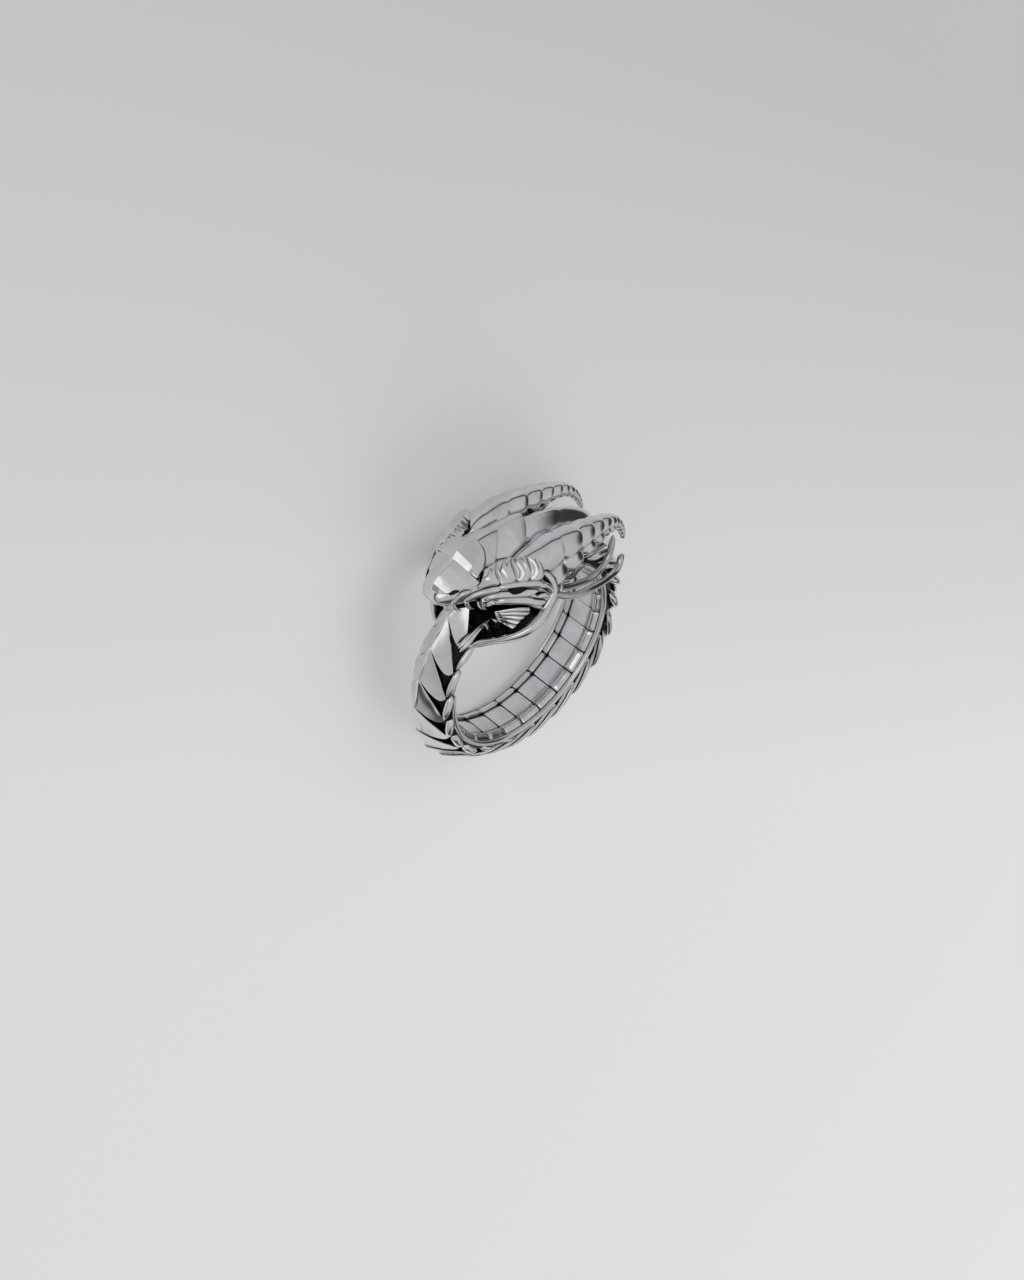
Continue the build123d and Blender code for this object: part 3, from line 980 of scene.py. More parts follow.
@dataclass
class BackScales(SubAssembly):
    """The overlapping chevron scales from the neck round to the tail in the mouth.

    Each scale is a roof facet on either side of a narrow ridge. Its chamfered free edge stands over the next
    scale's root, and its root draws back towards the foot, so that the core, near black as painted shadow,
    shows in a wedge.

    Attributes:
        first_apex: the angle of the first free edge's point.
        pitch: the angle from scale to scale.
        count: how many scales there are.
        neck_sweep: how far the free edge of a full scale draws back from its point, in degrees.
        tail_sweep: the same for a steep scale.
        neck_ridge: the ridge's height by the neck.
        tail_ridge: its height where the taper ends.
        neck_half_width: half a scale's width by the neck.
        tail_half_width: half its width where the taper ends.
        neck_foot: the height of a scale's foot by the neck.
        tail_foot: its height where the taper ends.
        taper_end: the angle at which the taper ends.
        tail_start: the angle from which the tail grows thinner towards its tip.
        tail_span: the degrees over which it does so.
        tail_shares: what shares of ridge, half width and foot are left at the tip.
        round_start: the angle from which the scales are quite full.
        neck_steepness: how steep they are before that.
        neck_span: the degrees over which that steepness ends.
        round_end: the angle up to which the scales are full.
        steep_start: the angle from which they are steep.
        rise: how far a free edge stands over the next scale.
        thickness: a scale's thickness at its free edge.
        root_depth: how much deeper its root reaches.
        chamfer: depth of the free edge's chamfer.
        facet_lean: how far a facet's thickness is measured sideways, as a share.
        foot_lean: how much further sideways it is measured at the foot.
        ridge_reach: the share of the way to the foot that belongs to the ridge.
        strand_start: the angle from which the scales have strands.
        strand_reaches: the shares of the way to the foot that a strand passes.
        strand_setbacks: how far behind the free edge the two strands lie, in degrees.
        strand_drop: how far they lie below it.
        roof: the steep scales by the tail as rows of a share of the way from ridge to foot, then the
            shares of the width, of the drop and of the sweep that are reached there.
        back: the same for the full scales by the neck, whose sides stand like walls.
        strands: rows of an apex angle and the radii of the strand on the free edge and of the one behind it.
        stations: shares of the way from ridge to foot at which a facet is divided.
        rows: shares of the way from free edge to root at which it is divided.
        spans: rows of a share of the way to the foot and the facet's length there in pitches.
    """

    first_apex: float = 37.7
    pitch: float = 14.9
    count: int = 21
    neck_sweep: float = 25.3
    tail_sweep: float = 22.6
    neck_ridge: float = 4.75
    tail_ridge: float = 3.56
    neck_half_width: float = 2.50
    tail_half_width: float = 2.24
    neck_foot: float = 0.95
    tail_foot: float = 1.60
    taper_end: float = 230.0
    tail_start: float = 315.0
    tail_span: float = 45.0
    tail_shares: tuple[float, float, float] = (0.86, 0.84, 0.85)
    round_start: float = 138.0
    neck_steepness: float = 0.42
    neck_span: float = 25.0
    round_end: float = 176.0
    steep_start: float = 246.0
    rise: float = 0.20
    thickness: float = 0.20
    root_depth: float = 0.35
    chamfer: float = 0.075
    facet_lean: float = 0.62
    foot_lean: float = 0.2
    ridge_reach: float = 0.08
    strand_start: float = 62.0
    strand_reaches: tuple[float, ...] = (0.99, 0.92, 0.84, 0.75, 0.66, 0.56)
    strand_setbacks: tuple[float, float] = (0.4, 4.6)
    strand_drop: float = 0.1
    roof: Table = (
        (0.0, 0.0, 0.0, 0.0),
        (0.045, 0.06, 0.004, 0.045),
        (0.35, 0.44, 0.24, 0.35),
        (0.6, 0.71, 0.50, 0.6),
        (0.8, 0.88, 0.73, 0.8),
        (1.0, 1.0, 1.0, 1.0),
    )
    back: Table = (
        (0.0, 0.0, 0.0, 0.0),
        (0.045, 0.10, 0.004, 0.02),
        (0.35, 0.64, 0.07, 0.13),
        (0.6, 0.97, 0.19, 0.32),
        (0.8, 1.08, 0.52, 0.64),
        (1.0, 1.07, 1.0, 1.0),
    )
    strands: Table = ((60.0, 0.46, 0.10), (112.0, 0.44, 0.10), (140.0, 0.28, 0.13), (165.0, 0.18, 0.13))
    stations: tuple[float, ...] = (
        0.0, 0.045, 0.12, 0.22, 0.33, 0.44, 0.55, 0.65, 0.74, 0.82, 0.88, 0.93, 0.97, 1.0,
    )
    rows: tuple[float, ...] = (0.0, 0.05, 0.3, 0.65, 1.0)
    spans: Table = (
        (0.0, 1.06), (0.2, 0.99), (0.35, 0.94), (0.6, 0.77), (0.76, 0.56), (0.87, 0.35), (0.95, 0.17),
        (1.0, 0.05),
    )

    def _edge(self, apex: float, reach: float, lower: float) -> Vector:
        """Finds a place on the near half of a free edge.

        Args:
            apex: the angle of the edge's point.
            reach: share of the way from ridge to foot.
            lower: how far the edge is lowered.

        Returns:
            The upright place.
        """
        taper = min(1.0, apex / self.taper_end)
        steep = ease((apex - self.round_end) / (self.steep_start - self.round_end))
        steep = max(steep, self.neck_steepness * ease((self.round_start - apex) / self.neck_span))
        full_and_steep = zip(read_table(self.back, reach), read_table(self.roof, reach))
        wide, dropped, swept = (lerp(full, bare, steep) for full, bare in full_and_steep)
        tail = ease((apex - self.tail_start) / self.tail_span)
        ridge_left, width_left, foot_left = (lerp(1.0, share, tail) for share in self.tail_shares)
        ridge = lerp(self.neck_ridge, self.tail_ridge, taper) * ridge_left - lower
        width = lerp(self.neck_half_width, self.tail_half_width, taper) * width_left
        foot = lerp(self.neck_foot, self.tail_foot, taper) * foot_left - lower * 0.5
        start = self.spot(apex, ridge, 0.0)
        end = self.spot(apex - lerp(self.neck_sweep, self.tail_sweep, steep), foot, 0.0)
        place = lerp(start, end, swept)
        return place + outward(place) * ((ridge - foot) * (swept - dropped)) + SIDEWAYS * (width * wide)

    def _place(self, apex: float, across: float, along: float, sunk: float) -> Vector:
        """Finds a place on a scale.

        Args:
            apex: the angle of the free edge's point.
            across: share from the far side (-1) to the near side (1).
            along: share from the free edge (0) to the root (1).
            sunk: depth under the outer skin.

        Returns:
            The upright place.
        """
        reach = self.stations[round(abs(across) * (len(self.stations) - 1))]
        row = self.rows[round(along * (len(self.rows) - 1))]
        here = self._edge(apex, reach, 0.0)
        there = self._edge(apex - self.pitch, reach, self.rise)
        (length,) = read_table(self.spans, reach)
        place = lerp(here, there, row * length)
        lean = self.facet_lean * min(1.0, reach / self.ridge_reach) + self.foot_lean * reach
        place -= (outward(place) * (1.0 - 0.35 * lean) + SIDEWAYS * lean) * sunk
        return on_side(place, Side.NEAR if across >= 0.0 else Side.FAR)

    def _outer(self, apex: float, across: float, along: float) -> Vector:
        """The upright place on a scale's outer skin, whose free edge is chamfered."""
        return self._place(apex, across, along, self.chamfer if along < 0.1 else 0.0)

    def _inner(self, apex: float, across: float, along: float) -> Vector:
        """The upright place on a scale's inner skin, which reaches deep at its root."""
        return self._place(apex, across, along, self.thickness + self.root_depth * min(1.0, 3.0 * along))

    def _add_strands(self, bm: bmesh.types.BMesh, apex: float) -> None:
        """Adds the two strands that follow a scale's free edge up from the rail.

        Args:
            bm: the mesh that they are made in.
            apex: the angle of the free edge's point.
        """
        for setback, radius in zip(self.strand_setbacks, read_table(self.strands, apex)):
            places = [self._edge(apex - setback, reach, self.strand_drop) for reach in self.strand_reaches]
            rod(bm, places, leaf(0.35, 0.45, radius), sides=12, steps=4)

    def build(self) -> None:
        """Makes the scales, then the strands of the full ones."""
        scales, strands = bmesh.new(), bmesh.new()
        for index in range(self.count):
            apex = self.first_apex + index * self.pitch
            plate(
                scales,
                across=2 * (len(self.stations) - 1),
                along=len(self.rows) - 1,
                outer=lambda u, v: self._outer(apex, 2 * u - 1, v),
                inner=lambda u, v: self._inner(apex, 2 * u - 1, v),
            )
            if self.strand_start < apex < self.steep_start:
                self._add_strands(strands, apex)
        self.shop.piece("back_scales", scales, SILVER, sharp=17.0)
        both_sides(strands)
        self.shop.piece("scale_strands", strands, SILVER)


@dataclass
class Skull(SubAssembly):
    """The head's body: nose, palate, cheeks and the crown that the plates lie on.

    Attributes:
        sections: rows of angle, palate height, then side and height of lip, cheek, brow and plate edge,
            and the crown's height.
        palate_rise: how far the palate's edge stands below its middle.
        lip_width: the lip's width.
    """

    sections: Table = (
        (-37.6, 7.0, 0.9, 6.8, 1.1, 7.4, 1.0, 8.0, 0.6, 8.2, 8.3),
        (-36.0, 6.3, 1.7, 6.2, 1.9, 7.2, 1.7, 8.0, 1.3, 8.4, 8.6),
        (-33.5, 5.8, 2.5, 5.8, 2.6, 6.9, 2.3, 7.8, 1.8, 8.3, 8.7),
        (-30.0, 5.4, 3.3, 5.4, 3.2, 6.6, 2.8, 7.5, 2.2, 8.0, 8.7),
        (-24.0, 5.0, 4.3, 4.9, 4.1, 5.8, 3.2, 6.9, 2.2, 7.4, 8.4),
        (-18.0, 4.3, 5.2, 3.5, 5.1, 4.7, 4.0, 6.0, 2.3, 6.6, 7.9),
        (-12.0, 2.6, 5.8, 1.7, 5.9, 3.0, 4.7, 5.2, 2.4, 5.6, 7.2),
        (-6.0, 1.0, 6.1, 0.9, 6.3, 2.2, 5.0, 4.3, 2.4, 4.8, 6.6),
        (2.0, 0.15, 5.7, 0.3, 6.0, 1.7, 4.8, 3.5, 2.3, 3.9, 5.7),
        (12.0, 0.15, 4.4, 0.3, 4.7, 1.4, 4.0, 2.9, 2.1, 3.4, 4.7),
        (24.0, 0.15, 3.2, 0.3, 3.4, 1.2, 3.0, 2.4, 1.8, 3.0, 4.2),
        (36.0, 0.2, 2.3, 0.35, 2.6, 1.0, 2.4, 2.1, 1.5, 2.7, 3.9),
    )

    palate_rise: float = 0.1
    lip_width: float = 0.35

    def _section(self, angle: float) -> list[Vector]:
        """Shapes the head at an angle.

        Args:
            angle: where along the ring.

        Returns:
            Places in a closed ring.
        """
        palate, *sides, crown = read_table(self.sections, angle)
        lip_side, lip, cheek_side, cheek, brow_side, brow, edge_side, edge = sides
        near = self.route((
            (angle, palate - self.palate_rise, lip_side * 0.55),
            (angle, lip, lip_side - self.lip_width),
            (angle, lip, lip_side),
            (angle, cheek, cheek_side),
            (angle, lerp(cheek, brow, 0.5), lerp(cheek_side, brow_side, 0.42)),
            (angle, brow, brow_side),
            (angle, edge, edge_side),
        ))
        return [self.spot(angle, palate, 0.0), *near, self.spot(angle, crown, 0.0), *mirrored(near)]

    def build(self) -> None:
        """Makes the body."""
        bm = bmesh.new()
        angles = spread(self.sections[0][0], self.sections[-1][0], 30)
        loft(bm, (self._section(angle) for angle in angles))
        self.shop.piece("skull", bm, SILVER, subdivide=1, slim=True)


class CrownPlate(NamedTuple):
    """One broad plate of the crown.

    Attributes:
        front: the angle of its front, which reaches under the plate before it.
        apex: the angle at which its free edge reaches furthest.
        sweep: how far the free edge draws back at its sides, in degrees.
        front_height: its middle's height in front.
        apex_height: its middle's height at the apex.
        front_width: half its width in front.
        apex_width: half its width at the apex.
        drop: how far its sides lie below its middle.
        roundness: 0 for a free edge that comes to a point and 1 for an arc.
        bevel_length: the length of the bevel in front, in degrees.
        bevel_depth: how far the bevel goes down.
        flatness: 0 for a domed plate and 1 for two flat faces.
    """

    front: float
    apex: float
    sweep: float
    front_height: float
    apex_height: float
    front_width: float
    apex_width: float
    drop: float
    roundness: float
    bevel_length: float
    bevel_depth: float
    flatness: float


@dataclass
class CrownPlates(SubAssembly):
    """The smooth plates along the crown: a faceted beak, then three broad plates and two on the neck.

    Attributes:
        plates: the plates from the first behind the beak to the last on the neck.
        beak: rows of angle, then side and height of the ridge strip, the white facet, the cheek facet
            and the lower bevel.
        beak_hem: how far the beak's lower edge turns in below the bevel, in millimetres, and the share of
            the bevel's side that is left there.
        thickness: a plate's thickness at its free edge.
        root_depth: how much thicker it is in front, as a share.
        lip: how far its free edge is rounded down.
        steps: faces along a plate.
        bevel_steps: how many of them belong to the bevel.
        front_slant: how far a plate's front draws back at its sides, in degrees.
        shortest: the least length of a plate in degrees.
        bevel_taper: what share of the bevel's length is lost at the sides.
        bevel_end: the share of the way to the sides at which the bevel closes.
        bevel_fade: the share of the way over which it closes.
        bevel_left: what share of its length is left beyond that.
        point_round: how blunt a pointed free edge is.
        arc_reach: the share of the width at which a round free edge runs along the plate.
        ridge_round: how round the ridge of a domed plate is.
        dome: how far a plate swells between its ends.
        side_slope: how much narrower the inner skin is for each millimetre of depth, as a share.
    """

    plates: tuple[CrownPlate, ...] = (
        CrownPlate(-24.6, -14.7, 10.8, 9.58, 8.46, 2.75, 2.85, 1.45, 1.0, 2.8, 0.60, 0.9),
        CrownPlate(-23.0, -7.3, 12.2, 8.98, 7.66, 2.75, 2.70, 1.95, 0.0, 0.4, 0.0, 0.0),
        CrownPlate(-19.0, 3.3, 12.0, 8.05, 7.06, 2.65, 2.40, 2.45, 1.0, 0.4, 0.0, 0.0),
        CrownPlate(-9.0, 23.0, 20.0, 6.17, 5.55, 2.10, 2.10, 2.20, 1.0, 0.4, 0.0, 0.0),
        CrownPlate(3.0, 43.0, 22.0, 5.62, 5.10, 2.10, 2.00, 2.20, 1.0, 0.4, 0.0, 0.0),
    )
    beak: Table = (
        (-24.2, 0.28, 9.00, 0.33, 8.98, 2.62, 7.84, 3.00, 7.30),
        (-27.0, 0.24, 9.06, 0.29, 9.04, 2.76, 7.73, 3.05, 7.25),
        (-29.3, 0.16, 9.08, 0.26, 9.06, 2.62, 7.83, 2.90, 7.28),
        (-30.8, 0.08, 9.07, 0.88, 8.77, 2.38, 7.98, 2.70, 7.32),
        (-32.7, 0.05, 8.92, 0.98, 8.66, 1.85, 8.22, 2.35, 7.34),
        (-34.2, 0.15, 8.70, 1.08, 8.42, 1.42, 8.24, 1.95, 7.30),
        (-35.6, 0.25, 8.28, 0.90, 8.04, 1.15, 7.88, 1.50, 7.22),
        (-36.9, 0.25, 7.76, 0.55, 7.64, 0.80, 7.50, 1.00, 7.10),
        (-37.6, 0.20, 7.30, 0.35, 7.24, 0.50, 7.14, 0.55, 6.98),
    )
    beak_hem: tuple[float, float] = (0.35, 0.8)
    thickness: float = 0.32
    root_depth: float = 1.2
    lip: float = 0.07
    steps: int = 14
    bevel_steps: int = 2
    front_slant: float = 0.6
    shortest: float = 0.3
    bevel_taper: float = 0.4
    bevel_end: float = 0.66
    bevel_fade: float = 0.2
    bevel_left: float = 0.12
    point_round: float = 0.03
    arc_reach: float = 0.97
    ridge_round: float = 0.02
    dome: float = 0.10
    side_slope: float = 0.03

    def _free_edge(self, form: CrownPlate, reach: float) -> float:
        """Finds the angle of a plate's free edge.

        Args:
            form: the plate.
            reach: share of the way from its middle to its side.

        Returns:
            The angle in degrees.
        """
        arc = 1.0 - math.sqrt(max(0.0, 1.0 - (reach / self.arc_reach) ** 2))
        point = math.sqrt(reach**2 + self.point_round) - math.sqrt(self.point_round)
        return form.apex - form.sweep * lerp(point, arc, form.roundness)

    def _run(self, form: CrownPlate, reach: float, along: float) -> tuple[float, float]:
        """Follows a plate from its free edge to the foot of its bevel.

        Args:
            form: the plate.
            reach: share of the way from its middle to its side.
            along: share from the free edge (0) to the front (1).

        Returns:
            The angle there, and how far the bevel has gone down.
        """
        start = form.front + self.front_slant * reach
        closing = ease((reach - self.bevel_end) / self.bevel_fade)
        bevel = form.bevel_length * lerp(1.0 - self.bevel_taper * reach, self.bevel_left, closing)
        free = max(self._free_edge(form, reach), start + bevel + self.shortest)
        hinge = 1.0 - self.bevel_steps / self.steps
        if along <= hinge:
            return lerp(free, start + bevel, along / hinge), 0.0
        share = (along - hinge) / (1.0 - hinge)
        return lerp(start + bevel, start, share), form.bevel_depth * bevel / form.bevel_length * share

    def _place(self, form: CrownPlate, across: float, along: float, sunk: float) -> Vector:
        """Finds a place on a plate.

        Args:
            form: the plate.
            across: share from the far side (-1) to the near side (1).
            along: share from the free edge (0) to the front (1).
            sunk: depth under the outer skin.

        Returns:
            The upright place.
        """
        reach = abs(across)
        angle, dip = self._run(form, reach, along)
        way = (form.apex - angle) / (form.apex - form.front)
        least, most = math.sqrt(self.ridge_round), math.sqrt(1.0 + self.ridge_round)
        rounded = (math.sqrt(reach**2 + self.ridge_round) - least) / (most - least)
        crown = lerp((rounded + reach**2) / 2.0, reach, form.flatness)
        height = lerp(form.apex_height, form.front_height, way) - form.drop * crown - dip
        height += self.dome * math.sin(math.pi * min(1.0, max(0.0, way))) * (1.0 - reach**2)
        if along < 0.5 / self.steps:
            height -= self.lip
        width = lerp(form.apex_width, form.front_width, way) * (1.0 - self.side_slope * sunk)
        return self.spot(angle, height - sunk, width * across)

    def _depth(self, along: float) -> float:
        """A plate's thickness at a share from its free edge (0) to its front (1)."""
        return self.thickness * (1.0 + self.root_depth * along)

    def _beak_section(self, angle: float, rows: Sequence[float]) -> list[Vector]:
        """Shapes the beak at an angle.

        Args:
            angle: where along the ring.
            rows: the side and height of each line along the beak in turn.

        Returns:
            Places in a closed ring.
        """
        near = [self.spot(angle, height, side) for side, height in zip(rows[::2], rows[1::2])]
        hem, left = self.beak_hem
        near.append(self.spot(angle, rows[-1] - hem, rows[-2] * left))
        return near + mirrored(near)

    def build(self) -> None:
        """Makes the beak and the plates."""
        bm = bmesh.new()
        loft(bm, (self._beak_section(angle, rows) for angle, *rows in self.beak))
        self.shop.piece("beak", bm, SILVER, sharp=12.0, edge_width=0.07, slim=True)
        for index, form in enumerate(self.plates):
            bm = bmesh.new()
            plate(
                bm,
                across=28,
                along=self.steps,
                outer=lambda u, v: self._place(form, 2 * u - 1, v, 0.0),
                inner=lambda u, v: self._place(form, 2 * u - 1, v, self._depth(v)),
            )
            name = f"crown_plate_{index + 1}"
            self.shop.piece(name, bm, SILVER, sharp=14.0, edge_width=0.05, slim=True)


@dataclass
class Horns(SubAssembly):
    """The two curved horns, each a row of cups that slip into each other, with lobes under them.

    Attributes:
        line: rows of angle, height, side and girth along a horn's middle.
        ends: the angles between which the cups lie.
        profile: rows of a share of a cup's length and its girth there.
        full_swell: the profile's girth from which a cup is as wide as the horn.
        overlap: how far a cup's root hides in the cup before it, as a share of its length.
        slant: how far its underside lies behind its top, as a share of its girth.
        slant_turn: by how much that slant is turned round the horn, in radians.
        hollow: rows of how far behind its mouth a cup's inside lies, as a share of its length, and the
            inside's girth there.
        corners: corners of a cup's section.
        collar_ends: the angles between which the shorter cup over the far horn's first one lies.
        collar_rise: how much wider that cup is than the horn.
        collar_slant: how far its underside lies behind its top, in millimetres.
        lobes: rows of angle, height and side, then half length and half height in millimetres.
    """

    line: Table = (
        (-11.5, 5.15, 3.00, 0.62),
        (-9.5, 5.10, 3.05, 1.00),
        (-6.0, 4.80, 3.25, 1.36),
        (-1.0, 4.52, 3.38, 1.60),
        (7.5, 4.46, 3.40, 1.72),
        (13.0, 4.38, 3.40, 1.68),
        (18.0, 4.42, 3.36, 1.60),
        (25.5, 4.68, 3.30, 1.38),
        (31.5, 5.05, 3.22, 1.15),
        (36.5, 5.40, 3.14, 0.94),
        (40.5, 5.60, 3.06, 0.77),
        (44.5, 5.60, 2.98, 0.62),
        (48.0, 5.46, 2.93, 0.51),
        (51.2, 5.24, 2.89, 0.42),
        (54.2, 4.98, 2.86, 0.34),
        (57.0, 4.70, 2.83, 0.25),
    )
    ends: tuple[float, ...] = (-11.5, 7.5, 18.0, 25.5, 31.5, 36.5, 40.5, 44.5, 48.0, 51.2, 54.2, 57.0)
    profile: Table = (
        (0.0, 0.74), (0.12, 0.80), (0.2, 0.845), (0.3, 0.90), (0.42, 0.95), (0.56, 0.985), (0.7, 1.0),
        (0.84, 0.995), (0.94, 0.97), (1.0, 0.925),
    )
    full_swell: float = 0.95
    overlap: float = 0.25
    slant: float = 0.9
    slant_turn: float = 0.35
    hollow: Table = ((0.02, 0.80), (0.20, 0.70))
    corners: int = 28
    collar_ends: tuple[float, float] = (-12.0, -2.5)
    collar_rise: float = 0.10
    collar_slant: float = 1.4
    lobes: Table = (
        (2.2, 2.50, 4.35, 2.05, 1.36),
        (13.8, 3.00, 4.22, 1.65, 1.18),
        (23.8, 3.68, 3.98, 1.25, 0.93),
        (30.8, 4.28, 3.78, 0.95, 0.74),
        (36.2, 4.78, 3.58, 0.70, 0.57),
        (40.8, 5.02, 3.38, 0.52, 0.44),
    )

    def _girth(self, angle: float) -> float:
        """The horn's radius at an angle."""
        return read_table(self.line, angle)[2]

    def _section(self, angle: float, girth: float, slant: float) -> list[Vector]:
        """Finds the places round a cup.

        Args:
            angle: where along the ring.
            girth: the section's radius.
            slant: how far the underside lies behind the top, in millimetres.

        Returns:
            Places in a closed ring.
        """
        height, side, _ = read_table(self.line, angle)
        reach = self.shop.frame.finger_radius + height
        places = []
        for turn in circle(self.corners):
            back = math.degrees(slant * (1.0 - math.cos(turn - self.slant_turn)) / 2.0 / reach)
            up, across = girth * math.cos(turn), girth * math.sin(turn)
            places.append(self.spot(angle - back, height + up, side + across))
        return places

    def _add_cup(self, bm: bmesh.types.BMesh, start: float, end: float) -> None:
        """Makes one cup, whose root hides in the cup before it.

        Args:
            bm: the mesh that it is made in.
            start: the angle at which it shows.
            end: the angle of its mouth.
        """
        length = end - start
        mouth = self._girth(end)
        slant = mouth * self.slant
        first = start == self.ends[0]
        root = start if first else start - length * self.overlap
        sections = []
        for share, swell in self.profile:
            angle = lerp(root, end, share)
            girth = self._girth(angle)
            if not first:
                girth = lerp(girth, mouth, 0.5) * swell
            sections.append(self._section(angle, min(girth, girth * swell / self.full_swell), slant * share))
        for behind, left in self.hollow:
            sections.append(self._section(end - behind * length, mouth * left, slant))
        loft(bm, sections)

    def _add_far_collar(self, bm: bmesh.types.BMesh) -> None:
        """Adds the shorter cup that lies over the far horn's first one.

        Args:
            bm: the mesh that it is made in.
        """
        sections = []
        for share, swell in self.profile:
            angle = lerp(*self.collar_ends, share)
            girth = self._girth(angle) + self.collar_rise * swell
            near = self._section(angle, girth, self.collar_slant * share)
            sections.append([on_side(place, Side.FAR) for place in near])
        loft(bm, sections)

    def _add_lobe(self, bm: bmesh.types.BMesh, row: Sequence[float]) -> None:
        """Makes one lobe.

        Args:
            bm: the mesh that it is made in.
            row: its row of the table.
        """
        angle, height, side, length, rise = row
        made = bmesh.ops.create_uvsphere(bm, u_segments=24, v_segments=16, radius=1.0)
        centre = self.spot(angle, height, side)
        out = outward(centre)
        ahead = out.cross(SIDEWAYS)
        for corner in made["verts"]:
            across, up, along = corner.co
            corner.co = centre + ahead * (along * length) + out * (up * rise) + SIDEWAYS * (across * rise)

    def build(self) -> None:
        """Makes both horns' cups, then their lobes."""
        bm = bmesh.new()
        for start, end in zip(self.ends, self.ends[1:]):
            self._add_cup(bm, start, end)
        both_sides(bm)
        self._add_far_collar(bm)
        self.shop.piece("horn_cups", bm, SILVER, sharp=50.0)
        bm = bmesh.new()
        for row in self.lobes:
            self._add_lobe(bm, row)
        both_sides(bm)
        self.shop.piece("horn_lobes", bm, SILVER)


@dataclass
class Jaw(SubAssembly):
    """The lower jaw: a smooth rimmed tray against the finger hole.

    Attributes:
        sections: rows of angle, half width, rim height and floor height.
        wall: the tray's wall at the rim.
        clearance: how far its underside stands back from the finger wall.
    """

    sections: Table = (
        (-50.0, 1.4, 1.00, 0.60),
        (-46.5, 2.7, 1.50, 0.65),
        (-41.0, 3.75, 1.45, 0.65),
        (-34.0, 5.25, 1.35, 0.60),
        (-26.0, 6.38, 1.35, 0.55),
        (-18.0, 6.80, 1.45, 0.55),
        (-12.0, 6.72, 1.60, 0.60),
        (-6.0, 6.40, 1.90, 0.80),
        (2.0, 5.9, 1.90, 0.90),
    )
    wall: float = 0.85
    clearance: float = 0.06

    def _section(self, angle: float) -> list[Vector]:
        """Shapes the tray at an angle.

        Args:
            angle: where along the ring.

        Returns:
            Places in a closed ring.
        """
        width, rim, floor = read_table(self.sections, angle)
        inner = width - self.wall
        near = self.route((
            (angle, self.clearance, width * 0.5),
            (angle, self.clearance + 0.02, width - 0.35),
            (angle, 0.32, width + 0.01),
            (angle, rim - 0.30, width + 0.04),
            (angle, rim, width - 0.10),
            (angle, rim + 0.04, inner + 0.10),
            (angle, rim - 0.25, inner),
            (angle, floor, inner - 0.12),
            (angle, floor - 0.05, width * 0.45),
        ))
        under, over = self.spot(angle, self.clearance, 0.0), self.spot(angle, floor - 0.05, 0.0)
        return [under, *near, over, *mirrored(near)]

    def build(self) -> None:
        """Makes the tray."""
        bm = bmesh.new()
        angles = spread(self.sections[0][0], self.sections[-1][0], 26)
        loft(bm, (self._section(angle) for angle in angles))
        self.shop.piece("lower_jaw", bm, SILVER, subdivide=1)


class Ridge(NamedTuple):
    """A soft ridge, rod or strand that follows a line over the ring.

    Attributes:
        route: the angle, height and side of each place that it passes.
        width: half its width.
        rise: half its height.
    """

    route: Route
    width: float
    rise: float


